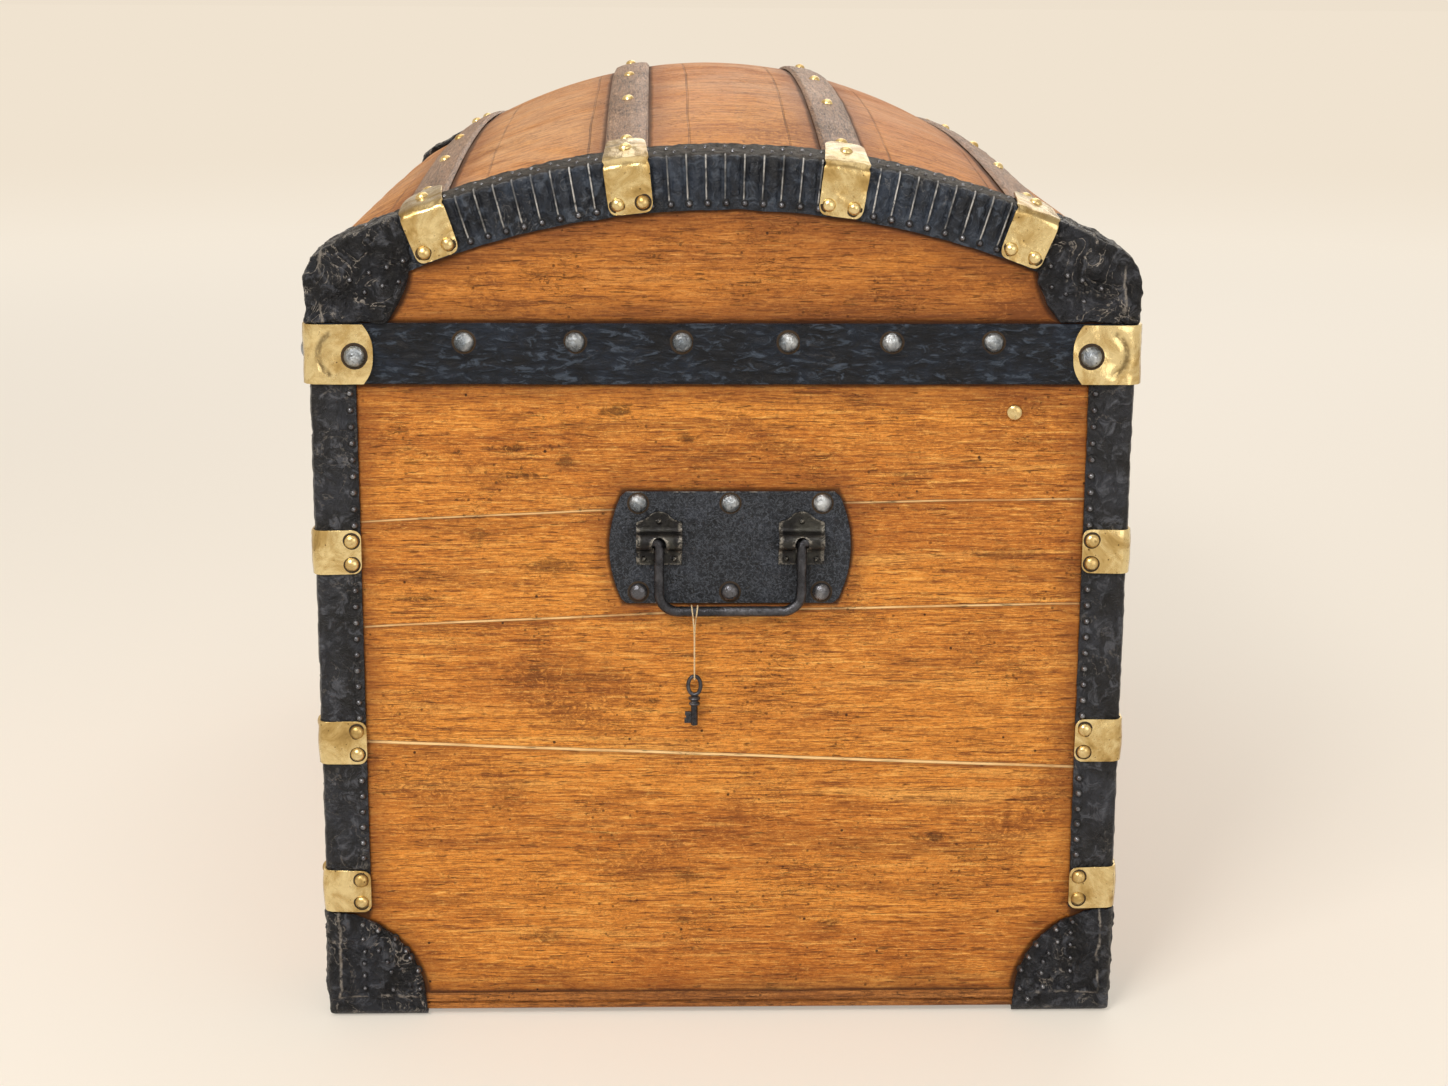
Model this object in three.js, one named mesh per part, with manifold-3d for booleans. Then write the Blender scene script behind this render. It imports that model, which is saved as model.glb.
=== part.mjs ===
// A dome top trunk: wooden box and arched lid, bound in leather and brass, with iron bail handles.
// Millimetres, +Z up. X runs along the trunk, the lock side is at -Y and the hinge side at +Y.
import * as THREE from "three";
import { mergeVertices } from "three/addons/utils/BufferGeometryUtils.js";
import Module from "manifold-3d";

const wasm = await Module();
wasm.setup();

// The box.
const bodyLength = 836;
const bodyDepth = 513;
const wallHeight = 440;
const boardThickness = 12;
const bottomLift = 4.2;
const bottomThickness = 11.4;

// The lid: its straight sides, the dome's radius at its ends and the extra rise mid-length.
const lidSideHeight = 48.8;
const domeRadius = 550;
const crestRise = 38.8;
const lidTopThickness = 9;
const lidEdgeRadius = 20;

// Gaps, cuts and welds.
const fitGap = 0.3;
const runningGap = 0.3;
const overrun = 6;
const weldDistance = 0.0004;

// Leather and iron bindings.
const edgeRadius = 6;
const bandDrop = 14.8;
const bandHeight = 38.1;
const bandStandOff = 0.7;
const bandThickness = 3;
const stripWidth = 29.4;
const stripThickness = 2.6;
const capThickness = 3.6;
const bottomCapReach = 65.6;
const bottomCapRise = 9;
const topCapReach = 56;
const topCapInset = 6.5;
const topCapLift = 14;
const trimThickness = 2.6;
const trimDepth = 33;
const trimLap = 22;

// Brass bindings.
const clampThickness = 1.2;
const clampHeight = 28.7;
const clampOverlap = 1.2;
const claspWidth = 43.7;
const claspThickness = 2;
const battenClampWidth = 31.5;
const battenClampDrop = 28;
const battenClampLap = 38;

// Battens on the dome.
const battenWidth = 28;
const battenTopWidth = 22;
const battenHeight = 4;
const battenEndHeight = 3.6;
const battenLift = 0.5;

// Nails and rivets: head radius and height.
const bandNailRadius = 6;
const bandNailHeight = 3.4;
const bandNailSpacing = 83;
const claspRivetRadius = 6.8;
const claspRivetHeight = 3.8;
const clampRivetRadius = 4.4;
const clampRivetHeight = 2.6;
const smallNailRadius = 2.2;
const smallNailHeight = 1.2;

// Handle: everything on the end sits a little behind the middle.
const handleShift = 4.5;
const handleDrop = 105.5;
const plateWidth = 154;
const plateEndWidth = 136.4;
const plateHeight = 73;
const plateThickness = 1.6;
const plateNailSpread = 58.5;
const plateNailRise = 29;
const bracketSpread = 45.3;
const bracketWidth = 29;
const bracketThickness = 1.6;
const bracketTop = 18.5;
const bracketShoulder = 12.5;
const bracketFoot = 15.8;
const barrelRadius = 5.5;
const pivotRise = 5.3;
const bailRadius = 3.3;
const bailDrop = 45.8;
const bailBend = 11;
const notchWidth = 9;
const notchTop = 3.5;

// Key and its thread.
const keyShift = -22.7;
const keyLength = 34;
const keyBowWidth = 10.6;
const keyBowHeight = 15;
const keyWire = 1.1;
const keyShankRadius = 1.8;
const keyCollarRadius = 3;
const keyCollarHeight = 4.6;
const keyBitWidth = 5.4;
const keyBitHeight = 8;
const keyBitThickness = 2;
const threadDiameter = 0.9;

// Hinges.
const hingeWidth = 62;
const hingeThickness = 1.6;
const hingeBarrelRadius = 3.8;
const hingePinRadius = 2;
const hingeNeck = 5.6;
const hingeLeafDrop = 52;

// Lock and hasp.
const lockPlateWidth = 92;
const lockPlateHeight = 66;
const lockPlateCorner = 9;
const lockPlateThickness = 1.6;
const lockCaseWidth = 58;
const lockCaseHeight = 48;
const lockCaseDrop = 11;
const lockCaseDepth = 6.4;
const keyholeRadius = 3.4;
const keyholeSlotWidth = 3;
const keyholeSlotDrop = 8.5;
const keyholeRise = 11;
const haspWidth = 34;
const haspTipWidth = 20;
const haspThickness = 1.8;
const haspBarrelRadius = 3.4;
const haspPinRadius = 1.6;
const haspPlateHeight = 16;
const haspPlateWidth = 46;
const haspStandOff = 0.8;
const haspLength = 54;
const stapleWidth = 3.6;
const stapleHeight = 9;
const stapleDepth = 5.6;
const stapleEyeRadius = 1.8;
const staplePlay = 0.9;

// Lid stay, and the stud that it hooks on.
const studInset = 72.9;
const studDrop = 33.2;
const studRadius = 2.4;
const studHeadRadius = 5.3;
const studHeadHeight = 2.4;
const studNutRadius = 4.6;
const studNutThickness = 1;
const stayWidth = 13;
const stayThickness = 2;
const stayPivotPlace = 60;
const stayPivotRise = 30;
const stayPinRadius = 2.4;
const stayPinDepth = 8;
const stayEyeRadius = 3;
const lidOpening = THREE.MathUtils.degToRad(100);

// Places as shares: battens and end nails over half the depth, clamps over the strip's run, rivets over
// the clamp's height, and the hinge over the row of band nails.
const battenShares = [-0.725, -0.2375, 0.292, 0.752];
const stripClampShares = [0, 0.316, 0.709];
const clampRivetShares = [0.24, 0.76];
const endNailShares = [-0.632, -0.363, -0.103, 0.156, 0.409, 0.657];
const hingeNailShare = 0.2;

// Counts.
const lengthSteps = 14;
const domeSteps = 14;
const cornerSteps = 3;
const roundSides = 12;
const tubeSides = 10;
const threadSides = 8;
const bailSteps = 30;
const nailSides = 8;
const smallSides = 6;

const halfLength = bodyLength / 2;
const halfDepth = bodyDepth / 2;
const cornerInset = halfDepth - lidEdgeRadius;
const cornerHeight = wallHeight + lidSideHeight;
const domeCentre = cornerHeight - Math.sqrt((domeRadius - lidEdgeRadius) ** 2 - cornerInset ** 2);
const bandLow = wallHeight - bandDrop;
const bandTop = bandLow + bandHeight;
const bandOuter = bandStandOff + bandThickness;
const handleHeight = bandLow - handleDrop;
const ends = [
  ["right", 1],
  ["left", -1],
];
const sides = [
  ["front", -1],
  ["back", 1],
];

const finishes = {
  wood: { color: 0xc07a35, roughness: 0.55, metalness: 0 },
  batten: { color: 0x6f5443, roughness: 0.6, metalness: 0 },
  leather: { color: 0x24272d, roughness: 0.55, metalness: 0 },
  iron: { color: 0x24262a, roughness: 0.5, metalness: 0.6 },
  brass: { color: 0xb99a52, roughness: 0.35, metalness: 0.9 },
  thread: { color: 0xe0cda8, roughness: 0.9, metalness: 0 },
};

const trunk = new THREE.Group();

// A closed geometry as a solid, turned the right way round if it is inside out.
function solidOf(geometry) {
  const bare = geometry.index ? geometry.toNonIndexed() : geometry.clone();
  for (const name of Object.keys(bare.attributes)) {
    if (name !== "position") bare.deleteAttribute(name);
  }
  const merged = mergeVertices(bare, weldDistance);
  const corners = merged.index.array;
  const kept = [];
  for (let i = 0; i < corners.length; i += 3) {
    const [a, b, c] = corners.slice(i, i + 3);
    if (a !== b && b !== c && c !== a) kept.push([a, b, c]);
  }
  const build = (faces) =>
    new wasm.Manifold(
      new wasm.Mesh({
        numProp: 3,
        vertProperties: merged.attributes.position.array,
        triVerts: new Uint32Array(faces.flat()),
      }),
    );
  const made = build(kept);
  return made.volume() < 0 ? build(kept.map(([a, b, c]) => [a, c, b])) : made;
}

function geometryOf(solid) {
  const mesh = solid.getMesh();
  const points = new Float32Array(mesh.numVert * 3);
  for (let i = 0; i < mesh.numVert; i += 1) {
    const start = i * mesh.numProp;
    points.set(mesh.vertProperties.subarray(start, start + 3), i * 3);
  }
  return new THREE.BufferGeometry()
    .setAttribute("position", new THREE.BufferAttribute(points, 3))
    .setIndex(new THREE.BufferAttribute(mesh.triVerts, 1));
}

// A solid moved, turned or mirrored by a matrix.
function placed(solid, matrix) {
  return solidOf(geometryOf(solid).applyMatrix4(matrix));
}

function mirrored(solid, alongX, alongY) {
  return placed(solid, new THREE.Matrix4().makeScale(alongX, alongY, 1));
}

function joined(solids) {
  return solids.reduce((whole, next) => whole.add(next));
}

// Puts a finished solid into the trunk as a named mesh with its own material.
function addPiece(name, solid, finish) {
  const flat = geometryOf(solid).toNonIndexed();
  flat.computeVertexNormals();
  const mesh = new THREE.Mesh(flat, new THREE.MeshStandardMaterial(finishes[finish]));
  mesh.name = name;
  trunk.add(mesh);
}

function block(x, y, z) {
  const size = [x, y, z].map(([low, high]) => high - low);
  const middle = [x, y, z].map(([low, high]) => (low + high) / 2);
  return solidOf(new THREE.BoxGeometry(...size).translate(...middle));
}

// A pair of distances from the middle, on the side that the sign gives, low first.
function span(sign, inner, outer) {
  return sign > 0 ? [inner, outer] : [-outer, -inner];
}

function extruded(outline, depth, steps) {
  return new THREE.ExtrudeGeometry(outline, {
    depth,
    steps,
    bevelEnabled: false,
    curveSegments: cornerSteps,
  });
}

// An outline drawn in Y and Z, run along X.
function alongX(outline, [low, high], steps = 1) {
  const turn = new THREE.Matrix4().set(0, 0, 1, low, 1, 0, 0, 0, 0, 1, 0, 0, 0, 0, 0, 1);
  return extruded(outline, high - low, steps).applyMatrix4(turn);
}

// An outline drawn in X and Z, run along Y.
function alongY(outline, [low, high]) {
  const turn = new THREE.Matrix4().set(1, 0, 0, 0, 0, 0, -1, high, 0, 1, 0, 0, 0, 0, 0, 1);
  return extruded(outline, high - low, 1).applyMatrix4(turn);
}

function rodAlongX(radius, [low, high], y, z, count = roundSides) {
  const rod = new THREE.CylinderGeometry(radius, radius, high - low, count);
  return solidOf(rod.rotateZ(Math.PI / 2).translate((low + high) / 2, y, z));
}

function rodAlongY(radius, [low, high], x, z, count = roundSides) {
  const rod = new THREE.CylinderGeometry(radius, radius, high - low, count);
  return solidOf(rod.translate(x, (low + high) / 2, z));
}

// A domed nail or rivet head whose flat side sits a little inside what it is driven into.
function nailHead(radius, height, sink, place, direction) {
  const shoulder = Math.SQRT1_2;
  const profile = [
    new THREE.Vector2(0, -sink),
    new THREE.Vector2(radius, -sink),
    new THREE.Vector2(radius, height / 4),
    new THREE.Vector2(radius * shoulder, height * shoulder),
    new THREE.Vector2(0, height),
  ];
  const head = new THREE.LatheGeometry(profile, radius < bandNailRadius ? smallSides : nailSides);
  const turn = new THREE.Quaternion().setFromUnitVectors(new THREE.Vector3(0, 1, 0), direction);
  return solidOf(head.applyQuaternion(turn).translate(place.x, place.y, place.z));
}

// The dome's height at the lid's ends, and how much higher the arched top is along its length.
function domeHeight(y) {
  return domeCentre + Math.sqrt(domeRadius ** 2 - y ** 2);
}

function archRise(x, y) {
  const along = Math.max(0, 1 - (x / halfLength) ** 2);
  const across = Math.max(0, 1 - (y / halfDepth) ** 2);
  return crestRise * along * across;
}

// A point over the dome: x, the line it follows, the distance across that line and the height.
function onDome(x, line, across, up) {
  const y = line + across * Math.cos(Math.asin(line / domeRadius));
  const tilt = Math.asin(y / domeRadius);
  const z = domeHeight(y) + archRise(x, y);
  return new THREE.Vector3(x, y + up * Math.sin(tilt), z + up * Math.cos(tilt));
}

function movePoints(geometry, move) {
  const points = geometry.getAttribute("position");
  const at = new THREE.Vector3();
  for (let i = 0; i < points.count; i += 1) {
    const moved = move(at.fromBufferAttribute(points, i));
    points.setXYZ(i, moved.x, moved.y, moved.z);
  }
  return geometry;
}

// An outline run along the whole lid, in steps that grow shorter towards its ends.
function alongLid(outline) {
  const run = alongX(outline, [-halfLength, halfLength], lengthSteps);
  return movePoints(run, (at) => {
    at.x = halfLength * Math.sin((Math.PI / 2) * (at.x / halfLength));
    return at;
  });
}

// Lifts what lies over the band by the lid's arch.
function archedUp(geometry) {
  return movePoints(geometry, (at) => {
    if (at.z > bandTop) at.z += archRise(at.x, at.y);
    return at;
  });
}

// The lid's outline in Y and Z, grown by an offset: wall, rounded edge, dome, rounded edge, wall.
function lidPoints(offset, low, topOffset = offset) {
  const reach = halfDepth + offset;
  const radius = domeRadius + topOffset;
  const corner = lidEdgeRadius + topOffset;
  const inset = reach - corner;
  const meet = Math.asin(inset / (radius - corner));
  const shoulder = domeCentre + (radius - corner) * Math.cos(meet);
  const half = [];
  for (let i = 0; i <= cornerSteps; i += 1) {
    const angle = Math.PI - (i / cornerSteps) * (Math.PI / 2 - meet);
    half.push([-inset + corner * Math.cos(angle), shoulder + corner * Math.sin(angle)]);
  }
  const dome = [];
  for (let i = 1; i < domeSteps; i += 1) {
    const angle = meet * ((2 * i) / domeSteps - 1);
    dome.push([radius * Math.sin(angle), domeCentre + radius * Math.cos(angle)]);
  }
  const back = half.map(([y, z]) => [-y, z]).reverse();
  const points = [[-reach, low], ...half, ...dome, ...back, [reach, low]];
  return points.map(([y, z]) => new THREE.Vector2(y, z));
}

// The lid as a full block, grown by an offset on its sides, top and ends.
function lidBlock(offset, low) {
  const block = archedUp(alongLid(new THREE.Shape(lidPoints(offset, low))));
  const longer = movePoints(block, (at) => {
    if (Math.abs(at.x) > halfLength - fitGap) at.x += offset * Math.sign(at.x);
    return at;
  });
  return solidOf(longer);
}

// A post with rounded upright edges, as far outside the box as the offset says.
function roundedPost(offset, low, high) {
  const x = halfLength + offset;
  const y = halfDepth + offset;
  const r = edgeRadius;
  const outline = new THREE.Shape();
  outline.absarc(x - r, y - r, r, 0, Math.PI / 2);
  outline.absarc(r - x, y - r, r, Math.PI / 2, Math.PI);
  outline.absarc(r - x, r - y, r, Math.PI, 1.5 * Math.PI);
  outline.absarc(x - r, r - y, r, 1.5 * Math.PI, 2 * Math.PI);
  return solidOf(extruded(outline, high - low, 1).translate(0, 0, low));
}

function squarePost(offset, low, high) {
  const x = halfLength + offset;
  const y = halfDepth + offset;
  return block([-x, x], [-y, y], [low, high]);
}

// A bent sheet round the right front corner, between two offsets, with a leg on either face.
function cornerAngle(inner, outer, width, low, high) {
  const wrap = roundedPost(outer, low, high);
  const core = squarePost(inner, low - overrun, high + overrun);
  const x = [halfLength + outer - width, halfLength + outer + overrun];
  const y = [-(halfDepth + outer + overrun), width - halfDepth - outer];
  return wrap.subtract(core).intersect(block(x, y, [low - overrun, high + overrun]));
}

function addCorners(name, solid, finish) {
  for (const [end, x] of ends) {
    for (const [side, y] of sides) {
      addPiece(`${name}_${end}_${side}`, mirrored(solid, x, -y), finish);
    }
  }
}

// Heads in both legs of a corner sheet, the same distance from its free edges.
function cornerHeads(radius, height, outer, inset, z) {
  const onEnd = new THREE.Vector3(halfLength + outer, inset - halfDepth - outer, z);
  const onFront = new THREE.Vector3(halfLength + outer - inset, -halfDepth - outer, z);
  return [
    nailHead(radius, height, clampThickness / 2, onEnd, new THREE.Vector3(1, 0, 0)),
    nailHead(radius, height, clampThickness / 2, onFront, new THREE.Vector3(0, -1, 0)),
  ];
}

function makeBoards() {
  const inside = halfLength - boardThickness;
  const low = bottomLift + bottomThickness + fitGap;
  const whole = [-halfLength, halfLength];
  const depth = [-halfDepth, halfDepth];
  addPiece("bottom_board", block(whole, depth, [bottomLift, low - fitGap]), "wood");
  for (const [side, y] of sides) {
    const between = [fitGap - inside, inside - fitGap];
    const across = span(y, halfDepth - boardThickness, halfDepth);
    addPiece(`${side}_board`, block(between, across, [low, wallHeight]), "wood");
  }
  for (const [end, x] of ends) {
    let board = block(span(x, inside, halfLength), depth, [low, wallHeight]);
    if (x > 0) {
      const bore = [inside - overrun, halfLength + overrun];
      const stud = studPlace();
      board = board.subtract(rodAlongX(studRadius + fitGap, bore, stud.y, stud.z));
    }
    addPiece(`end_board_${end}`, board, "wood");
  }
}

// Leather strips down the box's corners, each with its brass clamps and their rivets.
function makeCornerStrips() {
  const low = bottomCapRise + bottomCapReach + fitGap;
  const high = bandLow - fitGap;
  const outer = fitGap + stripThickness;
  const solids = [cornerAngle(fitGap, outer, stripWidth, low, high)];
  const clampOuter = outer + clampThickness;
  for (const share of stripClampShares) {
    const start = low + share * (high - low - clampHeight);
    const width = stripWidth + clampOverlap;
    solids.push(cornerAngle(fitGap, clampOuter, width, start, start + clampHeight));
    for (const along of clampRivetShares) {
      const z = start + along * clampHeight;
      const inset = width - clampRivetRadius * 1.3;
      solids.push(...cornerHeads(clampRivetRadius, clampRivetHeight, clampOuter, inset, z));
    }
  }
  addCorners("corner_strip", joined(solids), "leather");
}

function makeBottomCaps() {
  const outer = fitGap + capThickness;
  const high = bottomCapRise + bottomCapReach;
  const hollow = squarePost(fitGap, bottomLift - fitGap, high + overrun);
  const corner = [halfLength, -halfDepth];
  const ball = new THREE.SphereGeometry(bottomCapReach, 2 * roundSides, roundSides);
  const foot = new THREE.CylinderGeometry(
    bottomCapReach,
    bottomCapReach,
    bottomCapRise + overrun,
    2 * roundSides,
  );
  ball.rotateX(Math.PI / 2).translate(...corner, bottomCapRise);
  foot.rotateX(Math.PI / 2).translate(...corner, (bottomCapRise - overrun) / 2);
  const region = solidOf(ball).add(solidOf(foot));
  const cap = roundedPost(outer, 0, high).subtract(hollow).intersect(region);
  addCorners("bottom_cap", cap, "leather");
}

// The ball that a top cap is cut from, or, a gap larger, what the trim leaves free for it.
function topCapRegion(grow) {
  const ball = new THREE.SphereGeometry(topCapReach + grow, 2 * roundSides, roundSides);
  ball.rotateX(Math.PI / 2);
  ball.translate(halfLength, topCapInset - halfDepth, cornerHeight + topCapLift);
  return solidOf(ball);
}

function makeTopCaps() {
  const outer = fitGap + capThickness;
  const low = bandTop + fitGap;
  let skin = lidBlock(outer, low).subtract(lidBlock(fitGap, low - overrun));
  for (const index of battenShares.keys()) {
    skin = skin.subtract(solidOf(battenGeometry(battenLine(index), 2 * fitGap)));
  }
  for (const [end, x] of ends) {
    for (const [side, y] of sides) {
      const cap = skin.intersect(mirrored(topCapRegion(0), x, -y));
      addPiece(`top_cap_${end}_${side}`, cap, "leather");
    }
  }
}

function makeLid() {
  const low = wallHeight + fitGap;
  const outer = lidPoints(0, low);
  const inner = lidPoints(-boardThickness, low, -lidTopThickness).reverse();
  const shell = alongLid(new THREE.Shape([...outer, ...inner]));
  addPiece("lid_shell", solidOf(archedUp(shell)), "wood");
  const sideGap = -boardThickness - fitGap;
  const topGap = -lidTopThickness - fitGap;
  for (const [end, x] of ends) {
    const outline = new THREE.Shape(lidPoints(sideGap, low, topGap));
    let panel = solidOf(alongX(outline, span(x, halfLength - boardThickness, halfLength)));
    if (x > 0) {
      const bore = [halfLength - boardThickness - overrun, stayPinEnd() + runningGap];
      const radius = stayPinRadius + runningGap;
      panel = panel.subtract(rodAlongX(radius, bore, stayPivotPlace, wallHeight + stayPivotRise));
    }
    addPiece(`lid_end_${end}`, panel, "wood");
  }
}

const nailRun = bodyLength - 2 * claspWidth;
const sideNails = Math.max(3, Math.round(nailRun / bandNailSpacing));

// Where a nail of the band's long sides is along X. The hinges stand between two of them.
function sideNailPlace(index) {
  return nailRun * ((index + 0.5) / sideNails - 0.5);
}

function makeBand() {
  const ring = roundedPost(bandOuter, bandLow, bandTop).subtract(
    squarePost(bandStandOff, bandLow - overrun, bandTop + overrun),
  );
  const heads = [];
  const z = (bandLow + bandTop) / 2 + bandHeight / 5;
  const sink = bandThickness / 3;
  for (const [, x] of ends) {
    for (const share of endNailShares) {
      const at = new THREE.Vector3(x * (halfLength + bandOuter), share * halfDepth, z);
      const out = new THREE.Vector3(x, 0, 0);
      heads.push(nailHead(bandNailRadius, bandNailHeight, sink, at, out));
    }
  }
  const hasp = haspPlateWidth / 2 + 2 * bandNailRadius;
  for (const [, y] of sides) {
    for (let i = 0; i < sideNails; i += 1) {
      const place = sideNailPlace(i);
      if (y < 0 && Math.abs(place) < hasp) continue;
      const at = new THREE.Vector3(place, y * (halfDepth + bandOuter), z);
      const out = new THREE.Vector3(0, y, 0);
      heads.push(nailHead(bandNailRadius, bandNailHeight, sink, at, out));
    }
  }
  addPiece("lid_band", joined([ring, ...heads]), "leather");
  const inner = bandOuter + fitGap;
  const outer = inner + claspThickness;
  const middle = (bandLow + bandTop) / 2;
  const clasp = cornerAngle(inner, outer, claspWidth, bandLow + fitGap, bandTop - fitGap);
  const inset = claspWidth - claspRivetRadius * 1.5;
  const rivets = cornerHeads(claspRivetRadius, claspRivetHeight, outer, inset, middle);
  addCorners("band_clasp", joined([clasp, ...rivets]), "brass");
}

function battenLine(index) {
  return battenShares[index] * halfDepth;
}

// The batten's height over the dome: full along its length, thinned over its last stretch.
function battenTop(x) {
  const left = Math.min(1, (halfLength - Math.abs(x)) / battenClampLap);
  return battenEndHeight + (battenHeight - battenEndHeight) * left;
}

// A batten, or with growth the room that the leather leaves for it, down into the dome.
function battenGeometry(line, grow) {
  const base = grow > 0 ? -overrun : battenLift;
  const foot = battenWidth / 2 + grow;
  const top = grow > 0 ? foot : battenTopWidth / 2;
  const outline = new THREE.Shape([
    new THREE.Vector2(-foot, 0),
    new THREE.Vector2(0, 0),
    new THREE.Vector2(foot, 0),
    new THREE.Vector2(top, 1),
    new THREE.Vector2(-top, 1),
  ]);
  return movePoints(alongLid(outline), (at) =>
    onDome(at.x, line, at.y, base + at.z * (battenLift + battenTop(at.x) + grow - base)),
  );
}

function makeBattens() {
  battenShares.forEach((share, index) => {
    const line = battenLine(index);
    addPiece(`lid_batten_${index + 1}`, solidOf(battenGeometry(line, 0)), "batten");
    for (const [end, x] of ends) {
      const clamp = mirrored(battenClamp(line), x, 1);
      addPiece(`batten_clamp_${end}_${index + 1}`, clamp, "brass");
    }
  });
}

// A bent brass clamp over the right end of a batten, drawn in X and height over the dome.
function battenClamp(line) {
  const front = halfLength + 2 * fitGap + capThickness;
  const back = halfLength - battenClampLap;
  const foldHeight = battenLift + fitGap + battenEndHeight;
  const tail = battenLift + fitGap + battenHeight;
  const outline = new THREE.Shape([
    new THREE.Vector2(front, -battenClampDrop),
    new THREE.Vector2(front + clampThickness, -battenClampDrop),
    new THREE.Vector2(front + clampThickness, foldHeight + clampThickness),
    new THREE.Vector2(back, tail + clampThickness),
    new THREE.Vector2(back, tail),
    new THREE.Vector2(front, foldHeight),
  ]);
  const sheet = extruded(outline, battenClampWidth, 3).translate(0, 0, -battenClampWidth / 2);
  const bent = movePoints(sheet, (at) => onDome(at.x, line, at.z, at.y));
  const solids = [solidOf(bent)];
  const spread = battenClampWidth / 2 - clampRivetRadius * 1.3;
  for (const side of [-1, 1]) {
    const low = clampRivetRadius * 1.5 - battenClampDrop;
    const at = onDome(front + clampThickness, line, side * spread, low);
    const out = new THREE.Vector3(1, 0, 0);
    solids.push(nailHead(clampRivetRadius, clampRivetHeight, clampThickness / 2, at, out));
  }
  const tilt = Math.asin(line / domeRadius);
  for (const share of [0.3, 0.75]) {
    const x = front + clampThickness + share * (back - front - clampThickness);
    const up = foldHeight + share * (tail - foldHeight) + clampThickness;
    const normal = new THREE.Vector3(0, Math.sin(tilt), Math.cos(tilt));
    const at = onDome(x, line, 0, up);
    solids.push(nailHead(smallNailRadius, smallNailHeight, clampThickness, at, normal));
  }
  return joined(solids);
}

// The leather trim round a dome end: a flap down the face and a lap over the top edge.
function makeTrims() {
  const meet = Math.asin(cornerInset / (domeRadius - lidEdgeRadius));
  const inner = domeRadius - trimDepth;
  const outer = domeRadius + fitGap + trimThickness / 2;
  const flap = new THREE.Shape();
  flap.absarc(0, domeCentre, outer, Math.PI / 2 - meet, Math.PI / 2 + meet);
  flap.absarc(0, domeCentre, inner, Math.PI / 2 + meet, Math.PI / 2 - meet, true);
  const face = [halfLength + fitGap, halfLength + fitGap + trimThickness];
  const flapGeometry = new THREE.ExtrudeGeometry(flap, {
    depth: trimThickness,
    bevelEnabled: false,
    curveSegments: domeSteps,
  });
  const turn = new THREE.Matrix4().set(0, 0, 1, face[0], 1, 0, 0, 0, 0, 1, 0, 0, 0, 0, 0, 1);
  const steps = domeSteps;
  const lap = new THREE.BoxGeometry(face[1] - halfLength + trimLap, 1, 1, 2, steps, 1);
  movePoints(lap, (at) => {
    const angle = 2 * meet * at.y;
    const x = at.x + (face[1] + halfLength - trimLap) / 2;
    const up = fitGap + (at.z + 0.5) * trimThickness;
    const y = domeRadius * Math.sin(angle);
    const z = domeHeight(y) + archRise(x, y);
    return new THREE.Vector3(x, y + up * Math.sin(angle), z + up * Math.cos(angle));
  });
  let trim = solidOf(flapGeometry.applyMatrix4(turn)).add(solidOf(lap));
  const region = topCapRegion(2 * fitGap);
  trim = trim.subtract(region).subtract(mirrored(region, 1, -1));
  for (const index of battenShares.keys()) {
    trim = trim.subtract(solidOf(battenGeometry(battenLine(index), 2 * fitGap)));
  }
  const lapRange = [halfLength - trimLap - overrun, halfLength];
  const lapHeight = [bandTop, domeCentre + domeRadius + crestRise];
  const outerBattens = [battenLine(0), battenLine(battenShares.length - 1)];
  trim = trim.subtract(block(lapRange, [-halfDepth - overrun, outerBattens[0]], lapHeight));
  trim = trim.subtract(block(lapRange, [outerBattens[1], halfDepth + overrun], lapHeight));
  for (const [end, x] of ends) addPiece(`dome_trim_${end}`, mirrored(trim, x, 1), "leather");
}

function endPlace(x, y, z) {
  return new THREE.Vector3(x, handleShift + y, handleHeight + z);
}

const plateFace = halfLength + fitGap + plateThickness;
const pivotX = plateFace + fitGap + pivotRise;
const pivotZ = handleHeight + pivotRise;

function makeHandlePlates() {
  const side = plateEndWidth / 2;
  const rise = plateHeight / 2;
  const outline = new THREE.Shape();
  outline.moveTo(-side, -rise);
  outline.lineTo(side, -rise);
  outline.quadraticCurveTo(plateWidth - side, 0, side, rise);
  outline.lineTo(-side, rise);
  outline.quadraticCurveTo(side - plateWidth, 0, -side, -rise);
  const sheet = alongX(outline, [halfLength + fitGap, plateFace]);
  const solids = [solidOf(sheet.translate(0, handleShift, handleHeight))];
  for (const across of [-plateNailSpread, 0, plateNailSpread]) {
    for (const up of [-plateNailRise, plateNailRise]) {
      const at = endPlace(plateFace, across, up);
      const out = new THREE.Vector3(1, 0, 0);
      solids.push(nailHead(bandNailRadius, bandNailHeight, plateThickness / 2, at, out));
    }
  }
  const plate = joined(solids);
  for (const [end, x] of ends) addPiece(`handle_plate_${end}`, mirrored(plate, x, 1), "iron");
}

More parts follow.
